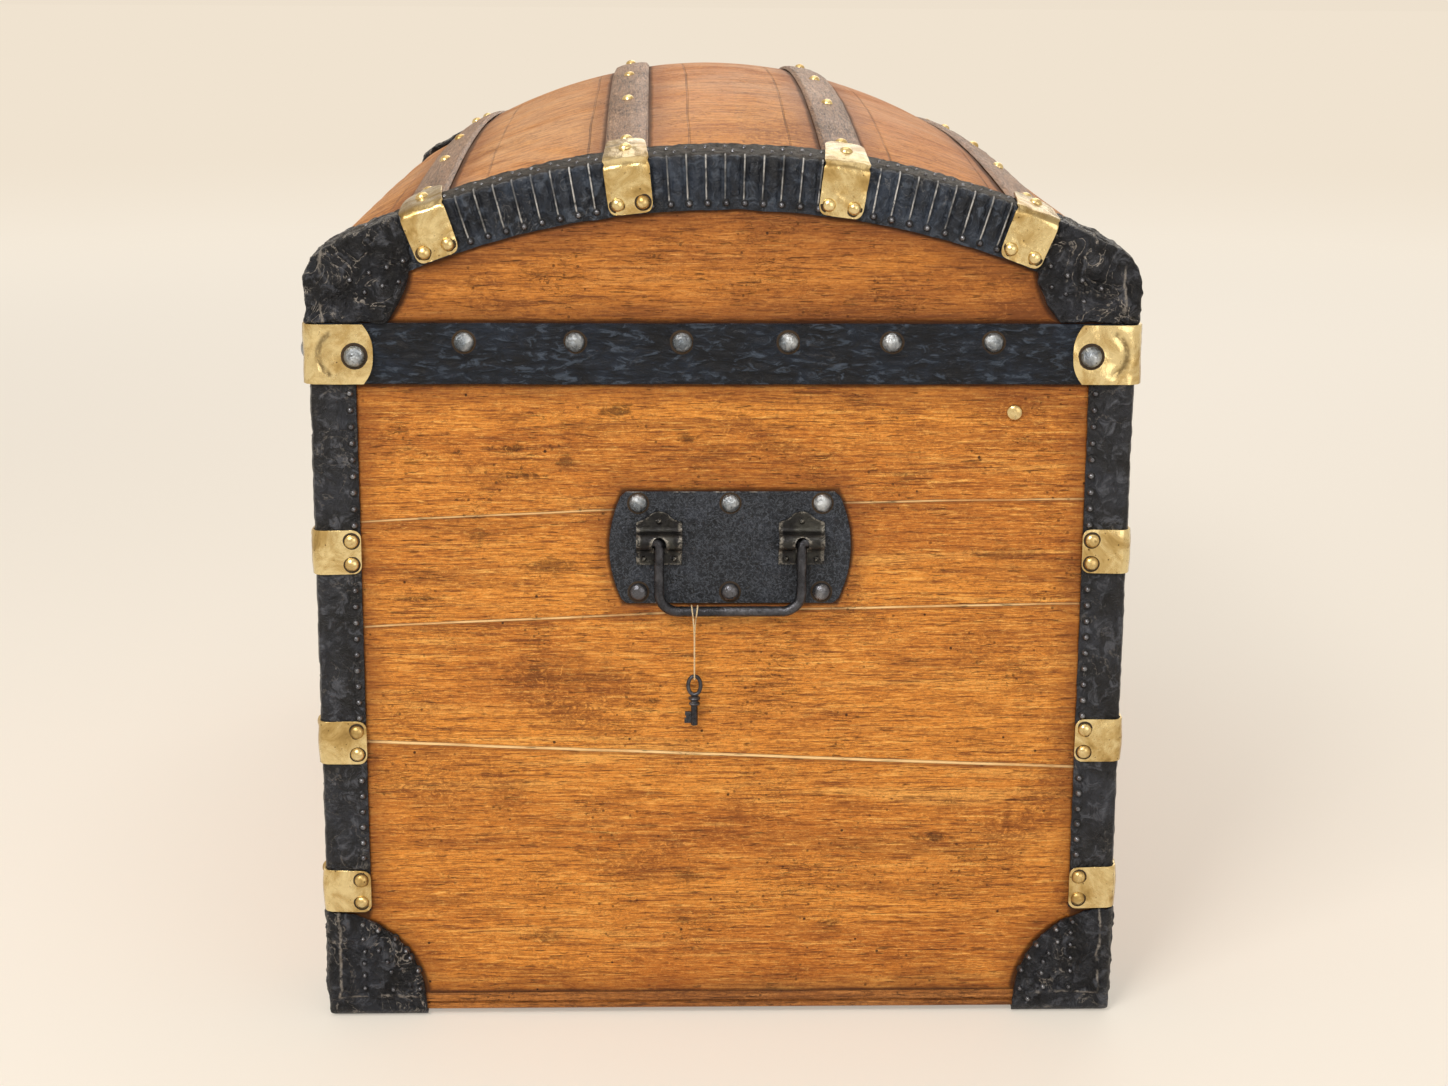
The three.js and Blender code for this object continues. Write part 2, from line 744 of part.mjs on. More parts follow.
// A bracket: a leaf with a pointed top, and a barrel with a notch that the bail's leg swings in.
function handleBracket(middle) {
  const half = bracketWidth / 2;
  const slot = notchWidth / 2;
  const leafFace = plateFace + fitGap + bracketThickness;
  const outline = new THREE.Shape();
  outline.moveTo(slot, -bracketFoot);
  outline.lineTo(half, -bracketFoot);
  outline.lineTo(half, bracketShoulder);
  outline.quadraticCurveTo(half / 2, bracketShoulder, half / 4, bracketTop);
  outline.lineTo(-half / 4, bracketTop);
  outline.quadraticCurveTo(-half / 2, bracketShoulder, -half, bracketShoulder);
  outline.lineTo(-half, -bracketFoot);
  outline.lineTo(-slot, -bracketFoot);
  outline.lineTo(-slot, 0);
  outline.lineTo(slot, 0);
  const leaf = alongX(outline, [plateFace + fitGap, leafFace]).translate(0, middle, pivotZ);
  const width = [middle - half, middle + half];
  const filler = block([leafFace - bracketThickness, pivotX], width, [
    pivotZ - barrelRadius,
    pivotZ + barrelRadius,
  ]);
  const bore = [width[0] - overrun, width[1] + overrun];
  const notch = block([leafFace, pivotX + barrelRadius + overrun], [middle - slot, middle + slot], [
    pivotZ - bracketFoot - overrun,
    pivotZ + notchTop,
  ]);
  let bracket = joined([solidOf(leaf), filler, rodAlongY(barrelRadius, width, pivotX, pivotZ)]);
  bracket = bracket
    .subtract(rodAlongY(bailRadius + runningGap, bore, pivotX, pivotZ))
    .subtract(notch);
  const out = new THREE.Vector3(1, 0, 0);
  const nails = [
    [0, (bracketShoulder + bracketTop) / 2 - smallNailRadius],
    [(half + slot) / 2, -bracketFoot + smallNailRadius * 2],
    [-(half + slot) / 2, -bracketFoot + smallNailRadius * 2],
  ].map(([across, up]) => {
    const at = new THREE.Vector3(leafFace, middle + across, pivotZ + up);
    return nailHead(smallNailRadius, smallNailHeight, bracketThickness / 2, at, out);
  });
  return joined([bracket, ...nails]);
}

function makeHandleBrackets() {
  for (const [end, x] of ends) {
    for (const [side, y] of sides) {
      const bracket = handleBracket(handleShift + y * bracketSpread);
      addPiece(`handle_bracket_${end}_${side}`, mirrored(bracket, x, 1), "iron");
    }
  }
}

// The bail hangs from its brackets: a rod bent to a U, whose ends turn out into the barrels.
function makeBails() {
  const bottom = -bailDrop;
  const corner = (side, up) => new THREE.Vector3(0, side * bracketSpread, up);
  const path = new THREE.CurvePath();
  path.add(new THREE.LineCurve3(corner(-1, 0), corner(-1, bottom + bailBend)));
  path.add(
    new THREE.QuadraticBezierCurve3(
      corner(-1, bottom + bailBend),
      corner(-1, bottom),
      new THREE.Vector3(0, bailBend - bracketSpread, bottom),
    ),
  );
  path.add(
    new THREE.LineCurve3(
      new THREE.Vector3(0, bailBend - bracketSpread, bottom),
      new THREE.Vector3(0, bracketSpread - bailBend, bottom),
    ),
  );
  path.add(
    new THREE.QuadraticBezierCurve3(
      new THREE.Vector3(0, bracketSpread - bailBend, bottom),
      corner(1, bottom),
      corner(1, bottom + bailBend),
    ),
  );
  path.add(new THREE.LineCurve3(corner(1, bottom + bailBend), corner(1, 0)));
  const section = new THREE.Shape();
  section.absarc(0, 0, bailRadius, 0, 2 * Math.PI);
  const tube = new THREE.ExtrudeGeometry(section, {
    steps: bailSteps,
    extrudePath: path,
    curveSegments: tubeSides / 2,
  });
  const solids = [solidOf(tube)];
  for (const [, y] of sides) {
    const end = span(y, bracketSpread, bracketSpread + bracketWidth / 2 - 2 * fitGap);
    const knee = new THREE.SphereGeometry(bailRadius, tubeSides, tubeSides / 2);
    solids.push(rodAlongY(bailRadius, end, 0, 0, tubeSides));
    solids.push(solidOf(knee.translate(0, y * bracketSpread, 0)));
  }
  const bail = joined(solids);
  for (const [end, x] of ends) {
    const place = new THREE.Matrix4().makeTranslation(x * pivotX, handleShift, pivotZ);
    addPiece(`handle_bail_${end}`, placed(bail, place), "iron");
  }
}

// The key hangs by its bow, with its bit towards the front.
function makeKey() {
  const lowest = Math.min(...threadRoute.map(([, , z]) => z));
  const top = lowest + threadDiameter / 2 + 2 * keyWire + 2 * fitGap - bailDrop - bailRadius;
  const bowMiddle = top - keyBowHeight / 2;
  const bowSize = keyBowWidth / 2 - keyWire;
  const bow = new THREE.TorusGeometry(bowSize, keyWire, 6, 16);
  bow.rotateY(Math.PI / 2).scale(1, 1, keyBowHeight / keyBowWidth);
  const bottom = top - keyLength;
  const collarTop = top - keyBowHeight + keyWire;
  const collarLow = collarTop - keyCollarHeight;
  const profile = [
    [0, bottom],
    [keyShankRadius, bottom],
    [keyShankRadius, collarLow],
    [keyCollarRadius, collarLow + keyCollarHeight / 4],
    [keyCollarRadius, collarTop - keyCollarHeight / 4],
    [keyShankRadius, collarTop],
    [0, collarTop],
  ].map(([radius, z]) => new THREE.Vector2(radius, z));
  const shank = new THREE.LatheGeometry(profile, 10).rotateX(Math.PI / 2);
  const bit = block(
    [-keyBitThickness / 2, keyBitThickness / 2],
    [-keyBitWidth - keyShankRadius / 2, 0],
    [bottom + keyWire, bottom + keyWire + keyBitHeight],
  );
  const ward = block(
    [-keyBitThickness, keyBitThickness],
    [-keyBitWidth - keyShankRadius, -keyBitWidth / 2 - keyShankRadius],
    [bottom + keyWire + keyBitHeight * 0.4, bottom + keyWire + keyBitHeight * 0.6],
  );
  const key = joined([solidOf(bow.translate(0, 0, bowMiddle)), solidOf(shank), bit.subtract(ward)]);
  const place = new THREE.Matrix4().makeTranslation(pivotX, handleShift + keyShift, pivotZ);
  addPiece("handle_key", placed(key, place), "iron");
}

// The thread's route: a loop from under the bail's bar, down through the key's bow and back up.
const threadRoute = [
  [-0.9, 1.5, 0],
  [-0.7, 1.6, -3.5],
  [-0.4, 1.7, -7],
  [-0.2, 1.8, -11],
  [-0.1, 1.9, -15],
  [-0.1, 2, -19],
  [-0.1, 2, -23],
  [-0.1, 2, -27],
  [-0.1, 2, -31],
  [-0.1, 2, -35],
  [0, 2, -38],
  [0, 1.9, -39.5],
  [0, 1.3, -40.9],
  [0, 0, -41.6],
  [0, -1.3, -40.9],
  [0, -1.9, -39.5],
  [0, -2, -38],
  [0.1, -2, -35],
  [0.1, -2, -31],
  [0.1, -2, -27],
  [0.1, -2, -23],
  [0.1, -2, -19],
  [0.1, -1.9, -15],
  [0.2, -1.8, -11],
  [0.4, -1.7, -7],
  [0.7, -1.6, -3.5],
  [0.9, -1.5, 0],
];

function makeThread() {
  const start = pivotZ - bailDrop - bailRadius - fitGap;
  const points = threadRoute.map(
    ([y, x, z]) => new THREE.Vector3(pivotX + x, handleShift + keyShift + y, start + z),
  );
  const section = new THREE.Shape();
  section.absarc(0, 0, threadDiameter / 2, 0, 2 * Math.PI);
  const tube = new THREE.ExtrudeGeometry(section, {
    steps: 2 * threadRoute.length,
    extrudePath: new THREE.CatmullRomCurve3(points),
    curveSegments: threadSides / 2,
  });
  addPiece("key_thread", solidOf(tube), "thread");
}

const hingeAxisY = halfDepth + bandOuter + 2 * fitGap + hingeBarrelRadius;
const hardwareReach = hingeAxisY + hingeBarrelRadius;

function makeHinges() {
  const knuckle = hingeWidth / 3;
  const wide = (x, low, high) => [x + low, x + high];
  for (const [end, sign] of ends) {
    const x = -sign * sideNailPlace(Math.floor(hingeNailShare * sideNails) + 0.5);
    const whole = wide(x, -hingeWidth / 2, hingeWidth / 2);
    const centre = wide(x, fitGap - knuckle / 2, knuckle / 2 - fitGap);
    const outside = [
      wide(x, -hingeWidth / 2, -knuckle / 2),
      wide(x, knuckle / 2, hingeWidth / 2),
    ];
    const bore = rodAlongX(hingePinRadius + runningGap, wide(x, -hingeWidth, hingeWidth), hingeAxisY, bandLow);
    const out = new THREE.Vector3(0, 1, 0);
    const bodyFace = halfDepth + fitGap;
    const body = [
      block(whole, [bodyFace, bodyFace + hingeThickness], [bandLow - hingeLeafDrop, bandLow - hingeNeck]),
    ];
    for (const range of outside) {
      body.push(block(range, [bodyFace, hingeAxisY], [bandLow - hingeNeck - fitGap, bandLow - fitGap]));
      body.push(rodAlongX(hingeBarrelRadius, range, hingeAxisY, bandLow));
    }
    for (const [across, share] of [[-1, 0.3], [1, 0.3], [0, 0.75]]) {
      const z = bandLow - hingeNeck - share * (hingeLeafDrop - hingeNeck);
      const at = new THREE.Vector3(x + across * knuckle, bodyFace + hingeThickness, z);
      body.push(nailHead(clampRivetRadius, clampRivetHeight, hingeThickness / 2, at, out));
    }
    addPiece(`hinge_body_leaf_${end}`, joined(body).subtract(bore), "brass");
    const lidFace = halfDepth + bandOuter + fitGap;
    const leafLow = bandLow + hingeNeck;
    const lid = [
      block(whole, [lidFace, lidFace + hingeThickness], [leafLow, bandTop - 2 * fitGap]),
      block(centre, [lidFace, hingeAxisY], [bandLow, leafLow + fitGap]),
      rodAlongX(hingeBarrelRadius, centre, hingeAxisY, bandLow),
    ];
    for (const across of [-1, 1]) {
      const z = (leafLow + bandTop) / 2;
      const at = new THREE.Vector3(x + across * knuckle, lidFace + hingeThickness, z);
      lid.push(nailHead(clampRivetRadius, clampRivetHeight, hingeThickness / 2, at, out));
    }
    addPiece(`hinge_lid_leaf_${end}`, joined(lid).subtract(bore), "brass");
    const tip = hingeWidth / 2 + fitGap;
    const pin = joined([
      rodAlongX(hingePinRadius, wide(x, -tip - hingePinRadius, tip + hingePinRadius), hingeAxisY, bandLow),
      rodAlongX(hingeBarrelRadius * 0.8, wide(x, -tip - hingePinRadius, -tip), hingeAxisY, bandLow),
      rodAlongX(hingeBarrelRadius * 0.8, wide(x, tip, tip + hingePinRadius), hingeAxisY, bandLow),
    ]);
    addPiece(`hinge_pin_${end}`, pin, "brass");
  }
}

const haspAxisY = haspBarrelRadius - hardwareReach;
const haspAxisZ = bandTop - haspPlateHeight - haspBarrelRadius;
const haspFace = -halfDepth - fitGap - lockPlateThickness - lockCaseDepth - haspStandOff;
const stapleTop = haspAxisZ - haspLength * 0.7;

function cutCornerPlate(width, low, high, corner) {
  const half = width / 2;
  return new THREE.Shape([
    new THREE.Vector2(corner - half, low),
    new THREE.Vector2(half - corner, low),
    new THREE.Vector2(half, low + corner),
    new THREE.Vector2(half, high - corner),
    new THREE.Vector2(half - corner, high),
    new THREE.Vector2(corner - half, high),
    new THREE.Vector2(-half, high - corner),
    new THREE.Vector2(-half, low + corner),
  ]);
}

// The lock: a plate nailed to the front board, and a case with an open notch for the hasp's staple.
function makeLock() {
  const top = bandLow - lockCaseDrop;
  const low = top - lockCaseHeight;
  const margin = (lockPlateHeight - lockCaseHeight) / 2;
  const back = -halfDepth - fitGap;
  const plateFront = back - lockPlateThickness;
  const caseFront = plateFront - lockCaseDepth;
  const plate = cutCornerPlate(lockPlateWidth, low - margin, top + margin, lockPlateCorner);
  const solids = [
    solidOf(alongY(plate, [plateFront, back])),
    solidOf(alongY(cutCornerPlate(lockCaseWidth, low, top, margin / 2), [caseFront, back])),
  ];
  const nailX = (lockPlateWidth + lockCaseWidth) / 4;
  for (const x of [-nailX, nailX]) {
    for (const z of [low + margin / 2, top - margin / 2]) {
      const at = new THREE.Vector3(x, plateFront, z);
      const out = new THREE.Vector3(0, -1, 0);
      solids.push(nailHead(clampRivetRadius, clampRivetHeight, lockPlateThickness / 2, at, out));
    }
  }
  const notch = block(
    [-stapleWidth / 2 - staplePlay / 2, stapleWidth / 2 + staplePlay / 2],
    [caseFront - overrun, plateFront],
    [stapleTop - stapleHeight - staplePlay, top + overrun],
  );
  const keyholeZ = low + keyholeRise;
  const holeDepth = [caseFront - overrun, plateFront];
  const hole = rodAlongY(keyholeRadius, holeDepth, 0, keyholeZ);
  const slot = block(
    [-keyholeSlotWidth / 2, keyholeSlotWidth / 2],
    holeDepth,
    [keyholeZ - keyholeSlotDrop, keyholeZ],
  );
  addPiece("lock_case", joined(solids).subtract(notch).subtract(hole.add(slot)), "iron");
}

// The hasp hangs from a plate on the lid's band, over the lock, with its staple in the notch.
function makeHasp() {
  const bandFace = -halfDepth - bandOuter;
  const knuckle = haspPlateWidth / 3;
  const half = haspPlateWidth / 2;
  const plateFront = bandFace - fitGap - hingeThickness;
  const outline = cutCornerPlate(
    haspPlateWidth,
    haspAxisZ + haspBarrelRadius + fitGap,
    bandTop - fitGap,
    haspPlateHeight / 4,
  );
  const plate = [solidOf(alongY(outline, [plateFront, bandFace - fitGap]))];
  for (const range of [[-half, -knuckle / 2], [knuckle / 2, half]]) {
    plate.push(rodAlongX(haspBarrelRadius, range, haspAxisY, haspAxisZ));
    plate.push(
      block(range, [plateFront, bandFace - fitGap], [haspAxisZ, haspAxisZ + 2 * haspBarrelRadius]),
    );
  }
  const pin = rodAlongX(haspPinRadius, [-half, half], haspAxisY, haspAxisZ);
  const out = new THREE.Vector3(0, -1, 0);
  for (const x of [-knuckle, knuckle]) {
    const z = (haspAxisZ + haspBarrelRadius + bandTop) / 2;
    const at = new THREE.Vector3(x, plateFront, z);
    plate.push(nailHead(smallNailRadius, smallNailHeight, hingeThickness / 2, at, out));
  }
  addPiece("hasp_hinge_plate", joined([...plate, pin]), "iron");

  const centre = [fitGap - knuckle / 2, knuckle / 2 - fitGap];
  const low = haspAxisZ - haspLength;
  const neckLow = haspAxisZ - haspBarrelRadius - fitGap;
  const strap = new THREE.Shape();
  strap.moveTo(centre[0], haspAxisZ);
  strap.lineTo(centre[0], neckLow);
  strap.lineTo(-haspWidth / 2, neckLow - haspBarrelRadius);
  strap.lineTo(-haspTipWidth / 2, low + haspTipWidth / 2);
  strap.absarc(0, low + haspTipWidth / 2, haspTipWidth / 2, Math.PI, 2 * Math.PI);
  strap.lineTo(haspWidth / 2, neckLow - haspBarrelRadius);
  strap.lineTo(centre[1], neckLow);
  strap.lineTo(centre[1], haspAxisZ);
  const strapRange = [haspFace - haspThickness, haspFace];
  const bore = rodAlongX(haspPinRadius + runningGap, [-half, half], haspAxisY, haspAxisZ);
  const knuckleRod = rodAlongX(haspBarrelRadius, centre, haspAxisY, haspAxisZ);
  const staple = block(
    [-stapleWidth / 2, stapleWidth / 2],
    [haspFace - haspThickness / 2, haspFace + stapleDepth],
    [stapleTop - stapleHeight, stapleTop],
  );
  const eye = rodAlongX(
    stapleEyeRadius,
    [-stapleWidth, stapleWidth],
    haspFace + stapleDepth / 2,
    stapleTop - stapleHeight / 2,
  );
  const hasp = joined([solidOf(alongY(strap, strapRange)), knuckleRod]).subtract(bore);
  addPiece("hasp", hasp.add(staple.subtract(eye)), "iron");
}

function studPlace() {
  return new THREE.Vector3(halfLength, halfDepth - studInset, wallHeight - studDrop);
}

function stayPinEnd() {
  return halfLength - boardThickness + stayPinDepth;
}

// How far the stay's pivot is from the stud once the lid is open: the stay's length.
function stayReach() {
  const pivot = new THREE.Vector2(stayPivotPlace, wallHeight + stayPivotRise);
  const hinge = new THREE.Vector2(hingeAxisY, bandLow);
  const stud = studPlace();
  return pivot.rotateAround(hinge, -lidOpening).distanceTo(new THREE.Vector2(stud.y, stud.z));
}

// The brass stud through the right end board, and the stay that hangs inside from the lid's end.
function makeStay() {
  const stud = studPlace();
  const inside = halfLength - boardThickness;
  const nutFace = inside - fitGap - studNutThickness;
  const out = new THREE.Vector3(1, 0, 0);
  const at = new THREE.Vector3(halfLength + fitGap, stud.y, stud.z);
  const pieces = [
    rodAlongX(studRadius, [nutFace, halfLength + 2 * fitGap], stud.y, stud.z),
    rodAlongX(studNutRadius, [nutFace, inside - fitGap], stud.y, stud.z),
    nailHead(studHeadRadius, studHeadHeight, 0, at, out),
  ];
  addPiece("stay_stud", joined(pieces), "brass");

  const high = wallHeight + stayPivotRise;
  const low = high - stayReach();
  const half = stayWidth / 2;
  const bar = new THREE.Shape();
  bar.absarc(stayPivotPlace, high, half, 0, Math.PI);
  bar.absarc(stayPivotPlace, low, half, Math.PI, 2 * Math.PI);
  const face = [nutFace - fitGap - stayThickness, nutFace - fitGap];
  const eyeRange = [face[0] - overrun, face[1] + overrun];
  const mouth = block(
    eyeRange,
    [stayPivotPlace, stayPivotPlace + stayWidth],
    [low - stayEyeRadius * 0.8, low + stayEyeRadius * 0.8],
  );
  const stay = solidOf(alongX(bar, face))
    .subtract(rodAlongX(stayEyeRadius, eyeRange, stayPivotPlace, low))
    .subtract(mouth)
    .add(rodAlongX(stayPinRadius, [face[0], stayPinEnd()], stayPivotPlace, high));
  addPiece("lid_stay", stay, "brass");
}

makeBoards();
makeCornerStrips();
makeBottomCaps();
makeLid();
makeBand();
makeTopCaps();
makeBattens();
makeTrims();
makeHandlePlates();
makeHandleBrackets();
makeBails();
makeKey();
makeThread();
makeHinges();
makeLock();
makeHasp();
makeStay();

export default trunk;
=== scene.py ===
import math
from types import SimpleNamespace as Sizes

import bmesh
import bpy
from mathutils import Matrix, Vector, noise


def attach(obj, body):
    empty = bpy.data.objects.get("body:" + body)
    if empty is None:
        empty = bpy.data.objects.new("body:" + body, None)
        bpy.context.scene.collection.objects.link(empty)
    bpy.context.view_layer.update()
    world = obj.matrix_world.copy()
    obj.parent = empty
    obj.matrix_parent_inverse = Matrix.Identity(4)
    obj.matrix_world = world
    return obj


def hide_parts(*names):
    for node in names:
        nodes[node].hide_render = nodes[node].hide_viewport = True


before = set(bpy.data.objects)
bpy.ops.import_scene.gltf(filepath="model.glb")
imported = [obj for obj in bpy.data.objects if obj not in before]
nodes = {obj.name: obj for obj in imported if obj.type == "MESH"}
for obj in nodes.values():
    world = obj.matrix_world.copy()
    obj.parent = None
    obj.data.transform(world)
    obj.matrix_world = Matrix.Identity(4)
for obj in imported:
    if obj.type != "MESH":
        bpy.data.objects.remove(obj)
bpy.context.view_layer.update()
ends = {"right": 1, "left": -1}
sides = {"front": -1, "back": 1}
corners = [(end, side, alongX, alongY) for end, alongX in ends.items() for side, alongY in sides.items()]

trunk = Sizes(
    halfLength=0.418,
    halfDepth=0.2565,
    domeRadius=0.55,
    domeCentre=0.014492,
    crestRise=0.0388,
    edgeRadius=0.02,
    shoulder=0.4888,
    postRadius=0.0025,
    bandLow=0.4252,
    bandTop=0.4633,
)
endFace, longFace = trunk.halfLength, trunk.halfDepth
domeRadius, domeCentre, edgeRadius = trunk.domeRadius, trunk.domeCentre, trunk.edgeRadius
bandLow, bandTop, shoulder = trunk.bandLow, trunk.bandTop, trunk.shoulder
meetAngle = math.asin((longFace - edgeRadius) / (domeRadius - edgeRadius))


# Looks


def tint(code):
    parts = [int(code[i : i + 2], 16) / 255 for i in (0, 2, 4)]
    linear = [c / 12.92 if c <= 0.04045 else ((c + 0.055) / 1.055) ** 2.4 for c in parts]
    return (*linear, 1)


sockets = {
    "baseColor": "Base Color",
    "metallic": "Metallic",
    "roughness": "Roughness",
    "specular": "Specular IOR Level",
    "normal": "Normal",
    "coatWeight": "Coat Weight",
    "coatRoughness": "Coat Roughness",
}


class Wire:
    def __init__(self, look, socket):
        self.look = look
        self.socket = socket

    def __add__(self, other):
        return self.look.reckon("ADD", self, other)

    __radd__ = __add__

    def __sub__(self, other):
        return self.look.reckon("SUBTRACT", self, other)

    def __rsub__(self, other):
        return self.look.reckon("SUBTRACT", other, self)

    def __mul__(self, other):
        return self.look.reckon("MULTIPLY", self, other)

    __rmul__ = __mul__

    def __abs__(self):
        return self.look.reckon("ABSOLUTE", self)

    def higher(self, other):
        return self.look.reckon("MAXIMUM", self, other)

    def lower(self, other):
        return self.look.reckon("MINIMUM", self, other)


class Look:
    def __init__(self, name):
        self.material = bpy.data.materials.new(name)
        self.material.use_nodes = True
        self.shader = self.material.node_tree.nodes["Principled BSDF"]
        self.place = self.node("ShaderNodeTexCoord", {}, {}, "Object")
        self.x, self.y, self.z = (
            self.node("ShaderNodeSeparateXYZ", {}, {0: self.place}, i) for i in range(3)
        )

    def feed(self, socket, value):
        if isinstance(value, Wire):
            self.material.node_tree.links.new(value.socket, socket)
        else:
            socket.default_value = value

    def node(self, kind, settings, values, output=0):
        made = self.material.node_tree.nodes.new(kind)
        for key, value in settings.items():
            setattr(made, key, value)
        for key, value in values.items():
            self.feed(made.inputs[key], value)
        return Wire(self, made.outputs[output])

    def reckon(self, operation, *values):
        return self.node("ShaderNodeMath", {"operation": operation}, dict(enumerate(values)))

    def spread(self, scale, *drift):  # a pattern's places, from one scale or one for each axis
        scale = scale if isinstance(scale, tuple) else (scale,) * 3
        values = {"Vector": self.place, "Scale": scale, "Location": drift}
        return self.node("ShaderNodeMapping", {}, values)

    def cloud(self, scale, detail=3, rough=0.5, bend=0, seed=0):
        values = {"Vector": self.spread(scale, seed, 1.7 * seed, 0.6 * seed), "Scale": 1}
        values.update({"Detail": detail, "Roughness": rough, "Distortion": bend})
        return self.node("ShaderNodeTexNoise", {}, values)

    def cells(self, scale, feature="F1", seed=0, output="Distance"):
        values = {"Vector": self.spread(scale, seed, 1.3 * seed, 0.7 * seed), "Scale": 1}
        return self.node("ShaderNodeTexVoronoi", {"feature": feature}, values, output)

    def ease(self, value, low, high):
        limits = {"Value": value, "From Min": min(low, high), "From Max": max(low, high)}
        if low > high:
            limits.update({"To Min": 1, "To Max": 0})
        return self.node("ShaderNodeMapRange", {"interpolation_type": "SMOOTHSTEP"}, limits)

    def mix(self, mask, first, second, blend="MIX"):
        settings = {"data_type": "RGBA", "blend_type": blend}
        return self.node("ShaderNodeMix", settings, {0: mask, 6: first, 7: second}, 2)

    def bump(self, height, depth, before=None):
        values = {"Height": height, "Strength": 1, "Distance": depth}
        if before is not None:
            values["Normal"] = before
        return self.node("ShaderNodeBump", {}, values)

    def edges(self, low, high):
        return self.ease(self.node("ShaderNodeNewGeometry", {}, {}, "Pointiness"), low, high)

    def dress(self, **values):
        for name, value in values.items():
            self.feed(self.shader.inputs[sockets[name]], value)
        return self.material


# Wood

woodLook = {
    "honey": "e09036",
    "light": "f9c066",
    "amber": "c57628",
    "brown": "743c12",
    "dark": "2a1408",
    "pale": "f6cf92",
    "rough": 0.52,
    "sheen": 0.08,
}
battenLook = {
    "honey": "a67e63",
    "light": "d0aa89",
    "amber": "836048",
    "brown": "432c20",
    "dark": "1a100b",
    "pale": "c9a27c",
    "rough": 0.46,
    "sheen": 0.12,
    "relief": 0.0024,
}
lidEndTones = {**woodLook, "honey": "c67b2d", "light": "dc9d53", "amber": "a25e22", "brown": "6a3812"}
lidTones = {**woodLook, "honey": "c98538", "light": "dea663", "faded": "d6a578"}
lidTones.update({"rough": 0.6, "sheen": 0.04})
edgeLook = {**woodLook, "honey": "bd7833", "light": "d39250", "amber": "935a28", "brown": "552f14"}
endMarks = [  # y, z, half length, half height and strength of the stains on the end boards
    (-0.067, 0.407, 0.013, 0.006, 0.85), (-0.023, 0.39, 0.008, 0.004, 0.75),
    (-0.013, 0.379, 0.03, 0.013, 0.3), (0.032, 0.385, 0.028, 0.008, 0.35),
    (-0.136, 0.384, 0.02, 0.0035, 0.85), (-0.124, 0.366, 0.015, 0.003, 0.85),
    (-0.099, 0.375, 0.006, 0.008, 0.6), (-0.154, 0.327, 0.01, 0.006, 0.6),
    (-0.108, 0.308, 0.026, 0.007, 0.6), (-0.196, 0.286, 0.024, 0.003, 0.9),
    (0.115, 0.366, 0.015, 0.008, 0.45), (0.18, 0.316, 0.03, 0.01, 0.4),
    (-0.1, 0.235, 0.06, 0.014, 0.35), (-0.045, 0.217, 0.008, 0.003, 0.8),
    (0.138, 0.123, 0.02, 0.004, 0.85), (-0.023, 0.097, 0.015, 0.006, 0.6),
    (-0.025, 0.066, 0.013, 0.004, 0.7), (0.073, 0.064, 0.012, 0.004, 0.7),
    (-0.115, 0.055, 0.024, 0.006, 0.5),
]


def stainMask(look, marks):
    rag = (look.cloud((95, 95, 160), 5, 0.72, 0.9, seed=27) - 0.5) * 4.2
    whole = None
    for y, z, reach, rise, strength in marks:
        away = abs((look.y - y) * (1 / reach)) + abs((look.z - z) * (1 / rise)) + rag
        mark = look.ease(away, 1.1, 0.1) * strength
        whole = mark if whole is None else whole.higher(mark)
    return whole


